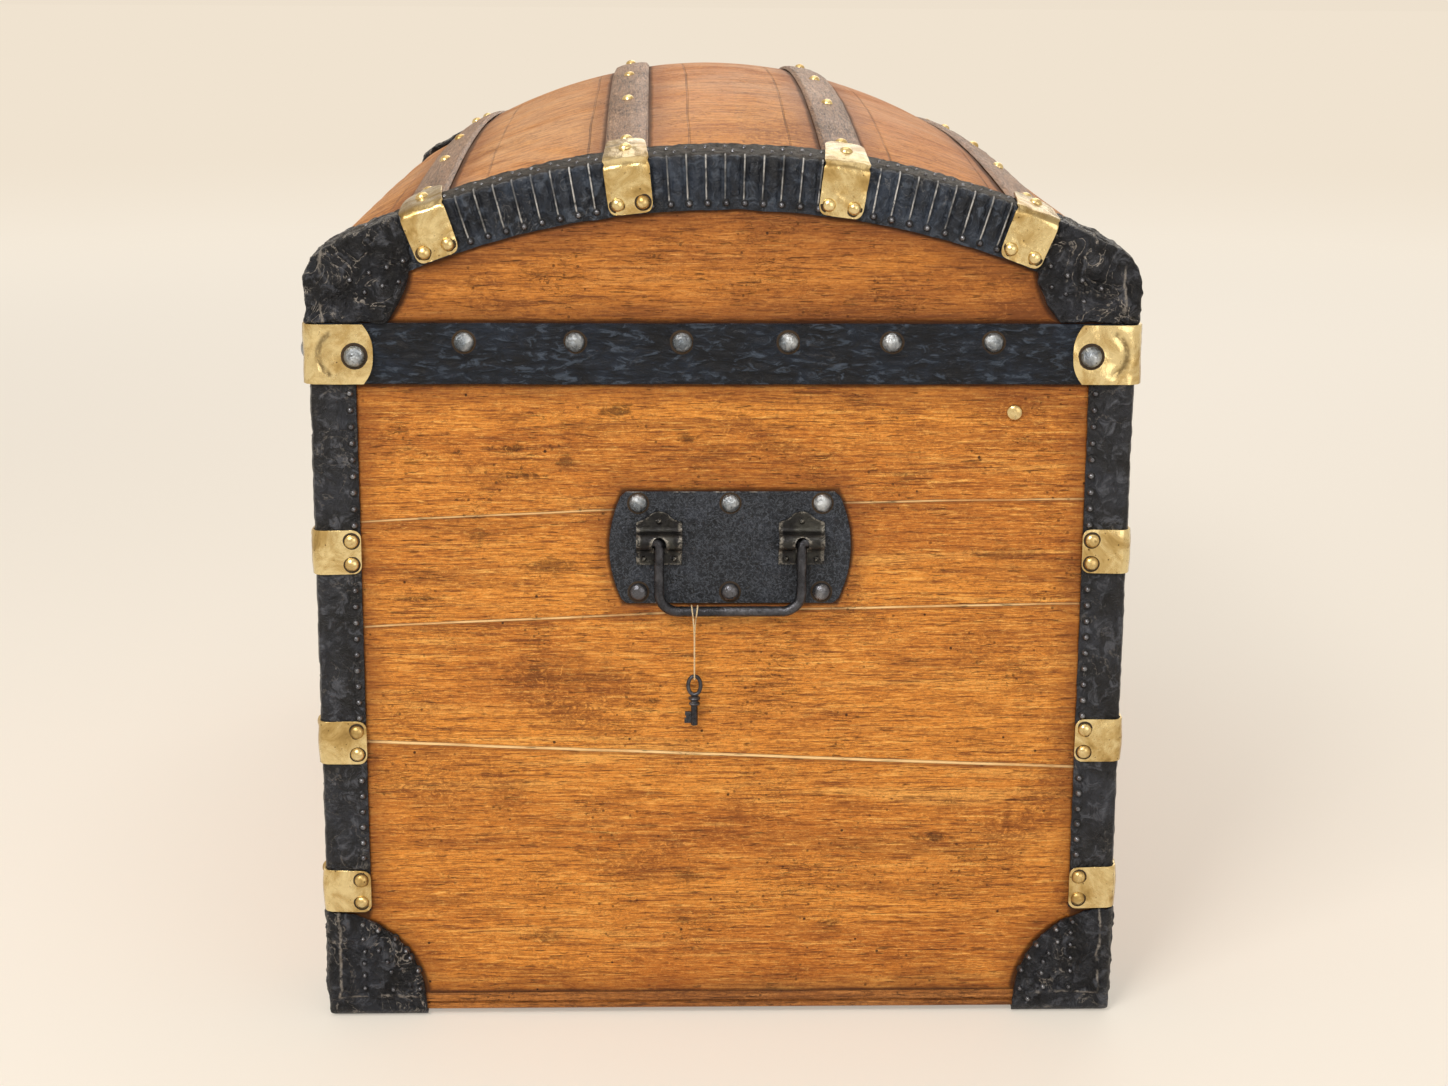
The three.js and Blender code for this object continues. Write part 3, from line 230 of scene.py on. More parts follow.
def woodMaterial(name, grain, covers, seams=(), staves=None, marks=(), tones=woodLook, squash=1):
    look = Look(name)
    if "faded" in tones:
        look.place = roundDome(look)

    def run(along, across):
        return (along, across, across) if grain == "x" else (across * squash, along, across)

    def blend(mask, color, tone):
        return look.mix(mask, color, tint(tones[tone]))

    broad = look.cloud(run(2, 12), 4, 0.6, 0.6, seed=3)
    bands = look.cloud(run(5, 80), 5, 0.64, 0.8, seed=7)
    fibre = look.cloud(run(26, 640), 6, 0.8, 0.6, seed=1)
    fine = look.cloud(run(130, 1000), 4, 0.75, 0.7, seed=2)
    pores = look.cloud(run(65, 850), 2, 0.55, 0.4, seed=5)
    stains = look.cloud((8, 8, 12), 6, 0.7, 0.6, seed=11)
    mottle = look.cloud((240 * squash, 200, 320), 4, 0.7, 1.6, seed=12)
    cracks = look.cloud(run(34, 210), 3, 0.62, 1.3, seed=13)
    places = look.cloud((22, 22, 30), 3, 0.6, seed=14)
    color = look.mix(look.ease(broad, 0.36, 0.62), tint(tones["amber"]), tint(tones["honey"]))
    if "faded" in tones:
        bare = look.ease(stains, 0.66, 0.36) * look.ease(lidDepth(look), 0.005, 0.004)
        bare = bare * (look.ease(abs(look.x), 0.4, 0.05) * 0.8).higher(look.ease(look.y, 0.02, -0.13))
        color = blend(bare * 0.8, color, "faded")
    layers = (  # each pattern, where it starts and is full, its strength and its tone
        (bands, 0.5, 0.72, 0.5, "brown"),
        (bands, 0.47, 0.3, 0.4, "light"),
        (fibre, 0.49, 0.62, 0.9, "brown"),
        (fibre, 0.47, 0.32, 0.85, "light"),
        (fine, 0.52, 0.64, 0.65, "brown"),
        (fine, 0.45, 0.34, 0.5, "light"),
    )
    for pattern, start, full, strength, tone in layers:
        color = blend(look.ease(pattern, start, full) * strength, color, tone)
    color = blend(look.ease(stains, 0.52, 0.7) * look.ease(mottle, 0.34, 0.6) * 0.7, color, "brown")
    crazing = look.ease(abs(look.cloud((260, 260, 330), 3, 0.6, 0.8, seed=33) - 0.5), 0.03, 0.006)
    color = blend(crazing * look.ease(places, 0.4, 0.6) * 0.4, color, "brown")
    color = blend(look.ease(mottle, 0.5, 0.66) * 0.35, color, "brown")
    color = blend(look.ease(mottle, 0.45, 0.3) * 0.3, color, "light")
    if "faded" in tones:
        color = blend(bare * 0.4, color, "faded")
    dark = look.ease(pores, 0.64, 0.72) * 0.6
    dark = dark.higher(look.ease(abs(cracks - 0.5), 0.008, 0.002) * look.ease(places, 0.56, 0.66) * 0.65)
    dark = dark.higher(look.ease(look.cells(46, seed=15), 0.05, 0.032) * 0.85)
    specks = look.ease(look.cells(150, seed=36), 0.16, 0.09) * look.ease(places, 0.42, 0.6)
    dark = dark.higher(specks * 0.6)
    if marks:
        dark = dark.higher(stainMask(look, marks) * look.ease(mottle, 0.3, 0.55) * 0.8)
    groove = None
    for level, slope, bend, width, strength in seams:
        along = look.y if grain == "y" else look.x
        offset = look.z - along * slope - along * along * bend - level
        offset = offset + (look.cloud((7, 7, 2), 2, seed=17) - 0.5) * 0.004
        line = look.ease(abs(offset), width, width * 0.4)
        # a darker line just under each seam is painted shadow
        below = look.ease(abs(offset + width * 1.3), width * 1.6, width * 0.3)
        patchy = look.ease(look.cloud(24, 3, seed=19), 0.36, 0.58)
        color = blend(below * 0.5, color, "brown")
        color = blend(line * (patchy * 0.4 + strength), color, "pale")
        groove = line if groove is None else groove.higher(line)
    if staves:
        width, start = staves
        place = look.y + start + (look.cloud((5, 1, 1), 2, seed=23) - 0.5) * 0.005
        line = look.ease(look.reckon("PINGPONG", place, width / 2), 0.0008, 0.0002)
        number = look.reckon("FLOOR", place * (1 / width) + 0.5)
        shade = look.node("ShaderNodeTexWhiteNoise", {"noise_dimensions": "1D"}, {"W": number}, "Value")
        color = blend(shade * 0.35, color, "amber")
        dark = dark.higher(line * look.ease(look.cloud(12, 3, seed=25), 0.42, 0.66) * 0.35)
        groove = line
    nearest = covers(look)
    smear = (look.cloud(30, 5, 0.7, 0.5, seed=29) - 0.5) * 0.026
    # a brown band near the pieces on the wood: dirt and painted shade
    edgeDirtAndShade = look.ease(nearest + smear, 0.022, -0.002)
    color = blend(edgeDirtAndShade * 0.6, color, "brown")
    # a thin dark line along each piece's edge is painted shadow, and the pores darken near it
    dark = dark.higher(look.ease(nearest + smear * 0.12, 0.0032, 0.0002) * 0.8).higher(edgeDirtAndShade * dark * 1.2)
    color = blend(dark, color, "dark")
    relief = fibre * 0.5 + bands * 0.3 + fine * 0.15 - dark * 0.9
    if groove is not None:
        relief = relief - groove * 0.8
    return look.dress(
        baseColor=color,
        roughness=tones["rough"] + (stains - 0.5) * 0.3 + dark * 0.2,
        specular=0.25,
        normal=look.bump(relief, tones.get("relief", 0.0011)),
        coatWeight=tones["sheen"],
        coatRoughness=0.3,
    )


def away(look, across, up, centre, radius):  # from a circle in the plane of a board's face
    offset = look.node("ShaderNodeCombineXYZ", {}, {0: across - centre[0], 1: up - centre[1]})
    return look.node("ShaderNodeVectorMath", {"operation": "LENGTH"}, {0: offset}, "Value") - radius


coverShape = Sizes(  # what lies on the wood, for the dirt and painted shade along its edges
    strip=0.0243,
    sideStrip=0.0258,
    foot=0.0156,
    capCentre=0.009,
    capRadius=0.063,
    plate=(0.0045, 0.3197),
    plateHalf=(0.077, 0.0365),
    plateBow=0.0088,
    trimFoot=0.5195,
    topCap=(0.25, 0.5028),
    topCapRadius=0.056,
)


def outerFace(look, nearest, out, face):  # only the outer face of a board has the dirt and painted shade
    return nearest.higher(look.ease(abs(out), face - 0.004, face - 0.008))


def boardEdges(look, across, reach, width):  # the leather round a board of the body
    edges = (reach - width - across).lower(bandLow - look.z)
    cap = away(look, across, look.z, (reach, coverShape.capCentre), coverShape.capRadius)
    return edges.lower(look.z - coverShape.foot).lower(cap)


def endCovers(look):
    (middle, height), (half, halfHeight) = coverShape.plate, coverShape.plateHalf
    rise = (look.z - height) * (1 / halfHeight)
    bowed = abs(look.y - middle) + rise * rise * coverShape.plateBow - half
    plate = bowed.higher(abs(look.z - height) - halfHeight)
    edges = boardEdges(look, abs(look.y), longFace, coverShape.strip)
    return outerFace(look, edges.lower(plate), look.x, endFace)


def sideCovers(look):
    edges = boardEdges(look, abs(look.x), endFace, coverShape.sideStrip)
    return outerFace(look, edges, look.y, longFace)


def lidEndCovers(look):
    trim = away(look, look.y, look.z, (0, domeCentre), 0) * -1 + coverShape.trimFoot
    cap = away(look, abs(look.y), look.z, coverShape.topCap, coverShape.topCapRadius)
    return outerFace(look, trim.lower(look.z - bandTop).lower(cap), look.x, endFace)


def flatArch(look):  # height with the rise of the lid's long arch taken off
    along, across = look.x * (1 / endFace), look.y * (1 / longFace)
    return look.z - (along * along * -1 + 1) * (across * across * -1 + 1) * trunk.crestRise


def overDome(look):
    return away(look, look.y, flatArch(look), (0, domeCentre), domeRadius)


def roundDome(look):  # places by their distance round the dome, so that the grain follows it
    angle = look.reckon("ARCTAN2", look.y, flatArch(look) - domeCentre)
    return look.node("ShaderNodeCombineXYZ", {}, {0: look.x, 1: angle * domeRadius, 2: overDome(look)})


def lidDepth(look):  # under the lid's outer face
    return (overDome(look) * -1).lower(abs(look.y) * -1 + longFace)


def lidCovers(look):
    nearest = 0.396 - abs(look.x)
    for line in battenLines:
        nearest = nearest.lower(abs(look.y - line) - 0.0142)
    nearest = nearest.lower(abs(look.z - bandTop) + 0.002)
    return nearest.higher(look.ease(lidDepth(look), 0.004, 0.005))


def noCovers(look):
    return look.z * 0 + 1


battenLines = [share * longFace for share in (-0.725, -0.2375, 0.292, 0.752)]
endSeams = [  # level, slope, bend, half width and strength
    (0.3467, 0.0309, -0.0637, 0.0009, 0.3), (0.2774, 0.0309, -0.0541, 0.001, 0.5),
    (0.1812, -0.042, 0, 0.0013, 0.65),
]
sideSeams = [(0.331, 0.008, 0, 0.0009, 0.4), (0.243, -0.006, 0, 0.0009, 0.5), (0.142, 0.01, 0, 0.0011, 0.6)]
endWood = woodMaterial("endWood", "y", endCovers, seams=endSeams, marks=endMarks)
sideWood = woodMaterial("sideWood", "x", sideCovers, seams=sideSeams)
lidWood = woodMaterial("lidWood", "y", lidCovers, staves=(0.064, 0.021), tones=lidTones, squash=0.45)
lidEndWood = woodMaterial("lidEndWood", "y", lidEndCovers, tones=lidEndTones)
edgeWood = woodMaterial("edgeWood", "y", noCovers, tones=edgeLook)
battenWood = woodMaterial("battenWood", "x", noCovers, tones=battenLook)


# Leather, metal, thread

leatherLook = {
    "black": "15161a",
    "grey": "2b2e36",
    "crest": "53565e",
    "scuff": "b4aca2",
    "rough": 0.33,
    "relief": 0.009,
    "specular": 0.3,
}


def leatherMaterial(name, wear, grain, worn=None, stretch=(1, 1, 1), shade=None, tones=leatherLook):
    look = Look(name)

    def scaled(size):
        return tuple(size * share for share in stretch)

    skin = look.cells(1000, seed=2)
    creases = look.cloud(scaled(grain), 6, 0.66, 0.8, seed=4)
    patches = look.cloud(24, 5, 0.66, 0.5, seed=6)
    folds = look.cloud(scaled(46), 4, 0.6, 1.1, seed=8)
    places = look.cloud(30, 4, 0.66, seed=9)
    rubbed = look.cloud(scaled(260), 4, 0.7, 0.8, seed=10)
    color = look.mix(look.ease(patches, 0.4, 0.66), tint(tones["black"]), tint(tones["grey"]))
    # the hollows of the creases are painted darker, as shade
    color = look.mix(look.ease(creases, 0.5, 0.34) * 0.5, color, tint("0c0c0e"))
    # the crests of the creases are painted lighter, as highlight
    color = look.mix(look.ease(creases, 0.52, 0.64) * 0.7, color, tint(tones["crest"]))
    line = look.ease(abs(folds - 0.5), 0.017, 0.003) * look.ease(places, 0.46, 0.58)
    line = line * look.ease(rubbed, 0.38, 0.55)
    patch = look.ease(places, 0.66, 0.72) * look.ease(rubbed, 0.5, 0.62)
    scuffs = line.higher(patch * 0.8) * wear
    if worn is not None:
        scuffs = scuffs.higher(worn(look) * look.ease(rubbed, 0.3, 0.5))
    color = look.mix(scuffs, color, tint(tones["scuff"]))
    roughness = tones["rough"] + (patches - 0.5) * 0.3 + scuffs * 0.25
    if shade is not None:
        hidden = shade(look)
        dull = look.mix(look.ease(creases, 0.46, 0.6), tint("0f0c09"), tint("2e261f"))
        color = look.mix(hidden, color, dull)
        roughness = roughness + hidden * 0.25
    relief = creases * 0.8 + abs(folds - 0.5) * 0.9 + rubbed * 0.08 - skin * 0.05
    return look.dress(
        baseColor=color,
        roughness=roughness,
        specular=tones["specular"],
        normal=look.bump(relief, tones["relief"]),
    )


def brassMaterial(name, dirtAndShade=None):
    look = Look(name)
    tarnish = look.cloud(42, 5, 0.68, 0.6, seed=12)
    spots = look.cloud(260, 3, 0.6, seed=14)
    specks = look.cells(230, seed=18)
    color = look.mix(look.ease(tarnish, 0.38, 0.62), tint("e4d09c"), tint("bda067"))
    color = look.mix(look.ease(tarnish, 0.56, 0.72) * 0.55, color, tint("715526"))
    color = look.mix(look.ease(spots, 0.66, 0.76) * 0.5, color, tint("5a4222"))
    color = look.mix(look.ease(specks, 0.14, 0.07) * look.ease(tarnish, 0.44, 0.6), color, tint("3a2814"))
    if dirtAndShade is not None:
        color = look.mix(dirtAndShade(look), color, tint("4a3517"))
    dents = look.cloud(55, 2, 0.4, 0.2, seed=16)
    scratch = look.cloud((90, 700, 300), 3, 0.6, 1.2, seed=15)
    return look.dress(
        baseColor=color,
        metallic=1,
        roughness=0.2 + look.ease(tarnish, 0.4, 0.75) * 0.24 + look.ease(spots, 0.6, 0.72) * 0.2,
        normal=look.bump(dents + scratch * 0.05 + tarnish * 0.12, 0.0024),
    )


def ironMaterial(name, base, pale, rough, metal=0.75, worn=None, relief=0.0009, rubbed=0, flecks=0):
    look = Look(name)
    patches = look.cloud(60, 5, 0.66, 0.4, seed=21)
    pits = look.cloud(380, 4, 0.7, 0.6, seed=22)
    color = look.mix(look.ease(patches, 0.4, 0.72), tint(base), tint(pale))
    color = look.mix(look.ease(pits, 0.56, 0.7) * 0.75, color, tint("15130f"))
    if flecks:
        squiggles = look.ease(abs(look.cloud(300, 3, 0.6, 0.8, seed=34) - 0.5), 0.05, 0.012)
        color = look.mix(squiggles * flecks, color, tint("656c78"))
    if rubbed:
        crest = look.edges(0.53, 0.62) * look.ease(pits, 0.42, 0.6) * rubbed
        color = look.mix(crest, color, tint("b9b4ab"))
    if worn is not None:
        color = look.mix(worn(look) * look.ease(pits, 0.42, 0.6), color, tint("a7a39c"))
    return look.dress(
        baseColor=color,
        metallic=metal,
        roughness=rough + (patches - 0.5) * 0.25 + pits * 0.1,
        normal=look.bump(patches * 0.8 + pits * 0.4, relief),
    )


def claspDirtAndShade(look):  # the dark crescent pressed into each face of a clasp: dirt and painted shade in its groove
    def crescent(across, start):
        ring = abs(away(look, across, look.z, (start - 0.019, 0.4442), 0.0149))
        arc = look.ease(ring + (dirt - 0.5) * 0.005, 0.0028, 0.0006)
        return arc * look.ease(across, start - 0.0135, start - 0.0105)

    dirt = look.cloud(150, 3, 0.6, seed=35)
    onEnd = crescent(abs(look.y), longFace) * look.ease(abs(look.x), 0.4185, 0.4195)
    onSide = crescent(abs(look.x), endFace) * look.ease(abs(look.y), 0.257, 0.258)
    return onEnd.higher(onSide) * look.ease(dirt, 0.3, 0.55) * 0.7


def overRim(look):  # height over the dome of the lid's ends, which has no arch
    return away(look, look.y, look.z, (0, domeCentre), domeRadius)


def clampTarnishAndShade(look):  # darker brass on a batten clamp's fold and top: tarnish and painted shade that dims its highlight
    return look.ease(overRim(look), -0.001, 0.0022) * 0.5


def plateWear(look):  # bare metal along the plate's edge
    height, half = coverShape.plate[1], coverShape.plateHalf[1]
    edge = look.ease((abs(look.z - height) - half) * -1, 0.0009, 0.0001)
    return edge * look.ease(look.cloud(60, 3, seed=26), 0.42, 0.6) * 0.7


def foldMask(look, seeds, insets, patchy, strength, rise=None):  # a rubbed fold along a cap's outer edges
    wander = (look.cloud(45, 4, 0.6, 0.5, seed=seeds[0]) - 0.5) * 0.009
    lines = []
    for across, inset in zip((look.y, look.x), insets):
        line = abs(across) - inset
        lines.append(abs((line if rise is None else line.higher(rise)) + wander))
    fold = look.ease(lines[0].lower(lines[1]), 0.0013, 0.0002)
    return fold * look.ease(look.cloud(55, 3, 0.6, seed=seeds[1]), *patchy) * strength


def foldLines(look):  # a bottom cap has one up from its foot too
    return foldMask(look, (28, 30), (0.2505, 0.412), (0.42, 0.56), 0.6, 0.0155 - look.z)


def topFold(look):
    return foldMask(look, (32, 33), (0.2495, 0.411), (0.44, 0.58), 0.55)


def pleatWearAndHighlight(look):  # the paler crests of the trim's pleats: rubbed wear and a painted highlight
    arc = look.reckon("ARCTAN2", look.y, look.z - domeCentre) * domeRadius
    crest = look.ease(look.reckon("PINGPONG", arc, 0.006), 0.0007, 0.0002)
    flap = look.ease(overRim(look), -0.0255, -0.022) * look.ease(abs(look.x), 0.4165, 0.418)
    patchy = look.ease(look.cloud((34, 60, 60), 3, 0.6, seed=36), 0.36, 0.62)
    return crest * flap * (patchy * 0.75 + 0.2)


def lapShade(look):  # the part of the trim that lies on the dome
    return look.ease(abs(look.x), 0.4186, 0.4166)


capLeather = leatherMaterial("capLeather", 0.6, 100, foldLines)
topCapLeather = leatherMaterial("topCapLeather", 0.75, 100, topFold)
stripTones = {**leatherLook, "relief": 0.005}
stripLeather = leatherMaterial("stripLeather", 0.18, 110, tones=stripTones)
bandTones = {
    "black": "0b1019",
    "grey": "1a2433",
    "crest": "4a5666",
    "scuff": "77726d",
    "rough": 0.4,
    "relief": 0.006,
    "specular": 0.3,
}
bandLeather = leatherMaterial("bandLeather", 0.1, 230, stretch=(0.36, 0.36, 1), tones=bandTones)
trimTones = {
    **leatherLook,
    "black": "121720",
    "grey": "2d3644",
    "crest": "49525f",
    "scuff": "e0deda",
    "relief": 0.0042,
}
trimLeather = leatherMaterial("trimLeather", 0.12, 120, pleatWearAndHighlight, shade=lapShade, tones=trimTones)
brass = brassMaterial("agedBrass")
claspBrass = brassMaterial("claspBrass", claspDirtAndShade)
clampBrass = brassMaterial("clampBrass", clampTarnishAndShade)
iron = ironMaterial("blackIron", "34353a", "5c5d63", 0.24, 0.85, relief=0.0014)
bracketIron = ironMaterial("bracketIron", "242426", "454541", 0.27, 0.85, relief=0.0014, rubbed=0.35)
plateIron = ironMaterial("plateIron", "1b1f26", "2c313b", 0.34, 0.5, plateWear, relief=0.0034, flecks=0.34)
steel = ironMaterial("nailSteel", "69717a", "c6ccd2", 0.24, 0.95, relief=0.0026)
tackIron = ironMaterial("tackIron", "56575d", "8c8e94", 0.2, 0.85)
rimDirtAndShade = ironMaterial("rimDirtAndShade", "2a1d0e", "3a2a16", 0.8, 0)
tackRingDirtAndShade = ironMaterial("tackRingDirtAndShade", "0a0a0c", "131316", 0.6, 0)


def threadMaterial():
    look = Look("linenThread")
    strands = look.cloud((900, 900, 2600), 3, 0.6, seed=24)
    color = look.mix(look.ease(strands, 0.4, 0.65), tint("e3cfa8"), tint("b89c70"))
    return look.dress(baseColor=color, roughness=0.85, normal=look.bump(strands, 0.0002))


linenThread = threadMaterial()

for name, node in nodes.items():
    if name.startswith("end_board"):
        finish = endWood
    elif name.startswith("lid_end"):
        finish = lidEndWood
    elif name in ("front_board", "back_board"):
        finish = sideWood
    elif name.startswith(("hinge", "lid_stay")):
        finish = brass
    else:
        finish = iron
    node.data.materials.clear()
    node.data.materials.append(finish)
print("looks are ready")


# Shared shapes


def domeHeight(y):
    return domeCentre + math.sqrt(domeRadius ** 2 - y * y)


def archRise(x, y):
    along = max(0, 1 - (x / endFace) ** 2)
    across = max(0, 1 - (y / longFace) ** 2)
    return trunk.crestRise * along * across


def onDome(x, line, across, up):  # a point over the dome, beside a line that runs along the lid
    y = line + across * math.cos(math.asin(line / domeRadius))
    tilt = math.asin(y / domeRadius)
    z = domeHeight(y) + archRise(x, y)
    return Vector((x, y + up * math.sin(tilt), z + up * math.cos(tilt)))


def lidSection(distance, up):  # y, z and the way out, at a distance round the lid from its crest
    side = -1 if distance < 0 else 1
    run = abs(distance)
    dome = meetAngle * domeRadius
    fillet = (math.pi / 2 - meetAngle) * edgeRadius
    inset = longFace - edgeRadius
    if run <= dome:
        angle = run / domeRadius
        out = Vector((0, math.sin(angle) * side, math.cos(angle)))
        place = Vector((0, 0, domeCentre)) + out * (domeRadius + up)
    elif run <= dome + fillet:
        angle = meetAngle + (run - dome) / edgeRadius
        out = Vector((0, math.sin(angle) * side, math.cos(angle)))
        place = Vector((0, inset * side, shoulder)) + out * (edgeRadius + up)
    else:
        out = Vector((0, side, 0))
        place = Vector((0, (longFace + up) * side, shoulder - (run - dome - fillet)))
    return place, out


def roundCorner(corner, run, offset):  # along the faces round an upright corner: end face below 0
    alongX, alongY = corner
    radius = trunk.postRadius
    arc = radius * math.pi / 2
    angle = min(max(run / arc + 0.5, 0), 1) * math.pi / 2
    out = Vector((alongX * math.cos(angle), alongY * math.sin(angle), 0))
    place = Vector((alongX * (endFace - radius), alongY * (longFace - radius), 0)) + out * (radius + offset)
    if run < -arc / 2:
        place.y -= alongY * (-run - arc / 2)
    if run > arc / 2:
        place.x -= alongX * (run - arc / 2)
    return place, out


def linkedFaces(verts):  # each face once, in the order of its first vertex
    return list(dict.fromkeys(face for vert in verts for face in vert.link_faces))


def slab(bm, columns, rows, place):  # a closed sheet: place gives its point for u, v and side 0 or 1
    lower = bmesh.ops.create_grid(bm, x_segments=columns, y_segments=rows, size=1)["verts"]
    faces = linkedFaces(lower)
    grown = bmesh.ops.extrude_face_region(bm, geom=faces)["geom"]
    upper = [item for item in grown if isinstance(item, bmesh.types.BMVert)]
    for verts, level in ((lower, 0), (upper, 1)):
        for vert in verts:
            vert.co = place(vert.co.x, vert.co.y, level)
    bmesh.ops.recalc_face_normals(bm, faces=linkedFaces(lower + upper))


def finishPiece(name, bm, material, body, replaced=(), bevel=0, sharp=50, bevelSteps=2):
    mesh = bpy.data.meshes.new(name)
    bm.to_mesh(mesh)
    bm.free()
    mesh.materials.append(material)
    mesh.shade_smooth()
    mesh.set_sharp_from_angle(angle=math.radians(sharp))
    piece = bpy.data.objects.new(name, mesh)
    bpy.context.collection.objects.link(piece)
    if bevel:
        rounding = piece.modifiers.new("rounding", "BEVEL")
        rounding.width = bevel
        rounding.segments = bevelSteps
        rounding.limit_method = "ANGLE"
        rounding.angle_limit = math.radians(sharp)
        rounding.use_clamp_overlap = True
    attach(piece, body)
    if replaced:
        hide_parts(*replaced)
    return piece


def finishSheet(name, bm, material, body, replaced=(), bevel=0.0004):
    return finishPiece(name, bm, material, body, replaced, bevel=bevel, sharp=60)


def headShape(name, around, rings):
    bm = bmesh.new()
    bmesh.ops.create_uvsphere(bm, u_segments=around, v_segments=rings, radius=1)
    everything = bm.verts[:] + bm.edges[:] + bm.faces[:]
    bmesh.ops.bisect_plane(bm, geom=everything, plane_co=(0, 0, 0), plane_no=(0, 0, 1), clear_inner=True)
    bmesh.ops.holes_fill(bm, edges=bm.edges[:], sides=0)
    mesh = bpy.data.meshes.new(name)
    bm.to_mesh(mesh)
    bm.free()
    return mesh


bigHead = headShape("bigHead", 20, 10)
tackHead = headShape("tackHead", 12, 6)


def addHead(bm, shape, place, out, radius, height, sink=0.0003):
    turn = out.to_track_quat("Z", "Y")
    copy = shape.copy()
    copy.transform(Matrix.LocRotScale(place - out * sink, turn, Vector((radius, radius, height + sink))))
    bm.from_mesh(copy)
    bpy.data.meshes.remove(copy)


# a dark ring round each tack: dirt and painted shade
def addTack(heads, rings, place, out, radius, height, sink):
    addHead(heads, tackHead, place, out, radius, height, sink)
    addHead(rings, tackHead, place, out, radius * 1.32, 0.0003, sink)


def finishTacks(kind, spot, tacks, rings, body):
    finishPiece(f"{kind}Tacks.{spot}", tacks, tackIron, body)
    finishPiece(f"{kind}TackRings.{spot}", rings, tackRingDirtAndShade, body)


def ripple(place, size, amount, seed=0):
    return noise.fractal(place * size + Vector((seed, 3 * seed, 0)), 0.9, 2.1, 3) * amount


# Lid shell and the moulded edge of the bottom

shell = Sizes(thickness=0.009, alongSteps=72, roundSteps=150, low=0.4403)


def makeLidShell():
    top = meetAngle * domeRadius + (math.pi / 2 - meetAngle) * edgeRadius
    reach = top + shoulder - shell.low

    def place(u, v, level):
        up = (level - 1) * shell.thickness
        spot, out = lidSection(v * reach, up)
        spot.x = u * endFace
        if spot.z > bandTop:
            spot.z += archRise(spot.x, spot.y)
            spot += out * ripple(spot, 9, 0.0006, 2) * (1 - abs(u) ** 8)
        return spot

    bm = bmesh.new()
    slab(bm, shell.alongSteps, shell.roundSteps, place)
    return finishPiece("lidStaves", bm, lidWood, "lid", ["lid_shell"])


bottomShape = Sizes(
    levels=[
        (0.0042, 0.0008), (0.005, 0), (0.008, 0), (0.0084, 0.0013), (0.0095, 0.0013), (0.0099, 0),
        (0.0148, 0), (0.0156, 0.0007),
    ],
)


def makeBottom():
    bm = bmesh.new()
    bmesh.ops.create_grid(bm, x_segments=1, y_segments=1, size=1)
    verts = bm.verts[:]
    faces = bm.faces[:]
    for index, (height, inset) in enumerate(bottomShape.levels):
        if index:
            grown = bmesh.ops.extrude_face_region(bm, geom=faces)["geom"]
            verts = [item for item in grown if isinstance(item, bmesh.types.BMVert)]
            faces = [item for item in grown if isinstance(item, bmesh.types.BMFace)]
        for vert in verts:
            vert.co.x = math.copysign(endFace - inset, vert.co.x)
            vert.co.y = math.copysign(longFace - inset, vert.co.y)
            vert.co.z = height
    bmesh.ops.recalc_face_normals(bm, faces=bm.faces[:])
    return finishPiece("mouldedBottom", bm, edgeWood, "trunk_body", ["bottom_board"], sharp=30)


makeLidShell()
makeBottom()
print("lid shell and bottom are made")


# Battens and their brass clamps

batten = Sizes(
    halfWidth=0.014,
    halfTop=0.0118,
    height=0.004,
    endHeight=0.0026,
    thinning=0.038,
    lift=0.0005,
    steps=120,
    nailPlaces=[0.097, 0.2335, 0.37],
    nailRadius=0.0041,
    nailHeight=0.0029,
)


def battenTop(x):
    left = min(1, (endFace - abs(x)) / batten.thinning)
    return batten.endHeight + (batten.height - batten.endHeight) * left


def makeBattens():
    nails = bmesh.new()
    for index, line in enumerate(battenLines):

        def place(u, v, level):
            x = u * endFace
            half = batten.halfWidth + (batten.halfTop - batten.halfWidth) * level
            up = level * (battenTop(x) - 0.0012 * abs(v) ** 3)
            spot = onDome(x, line, v * half, batten.lift + up)
            wander = ripple(Vector((x, index, v)), 22, 0.0006, index)
            return spot + Vector((0, wander * level, wander * level * 0.6))

        bm = bmesh.new()
        slab(bm, batten.steps, 6, place)
        number = index + 1
        node = f"lid_batten_{number}"
        finishPiece(f"batten{number}", bm, battenWood, "lid", [node], bevel=0.0008, sharp=40)
        for reach in batten.nailPlaces:
            for x in (-reach, reach):
                up = batten.lift + battenTop(x) - 0.0002
                spot = onDome(x, line, 0.0008 * math.sin(90 * x + index), up)
                out = (onDome(x, line, 0, 1) - onDome(x, line, 0, 0)).normalized()
                addHead(nails, bigHead, spot, out, batten.nailRadius, batten.nailHeight)
    finishPiece("battenNails", nails, brass, "lid")


clamp = Sizes(
    path=[  # out from the clamp's front face and up, from its foot to its tail on the batten
        (0, -0.0297), (0.0002, -0.0225), (0.0004, -0.0155), (0.0009, -0.0095), (0.0016, -0.0045),
        (0.0014, -0.0005), (-0.0003, 0.0018), (-0.0045, 0.0036), (-0.0125, 0.0044),
        (-0.0225, 0.005), (-0.034, 0.0051), (-0.0445, 0.0049),
    ],
    front=0.4222,
    halfWidth=0.0144,
    length=0.08,
    cornerRadius=0.0065,
    thickness=0.0012,
    steps=72,
    rivetRadius=0.0044,
    rivetHeight=0.0032,
    rivetSpread=0.0082,
    rivetLow=-0.0232,
    nailBack=-0.0215,
    nailLift=0.0066,
    nailRadius=0.0046,
)


def smoothSpot(a, b, c, d, part):  # a place on the smooth line from b to c
    return b + 0.5 * part * (c - a + part * (2 * a - 5 * b + 4 * c - d + part * (3 * (b - c) + d - a)))


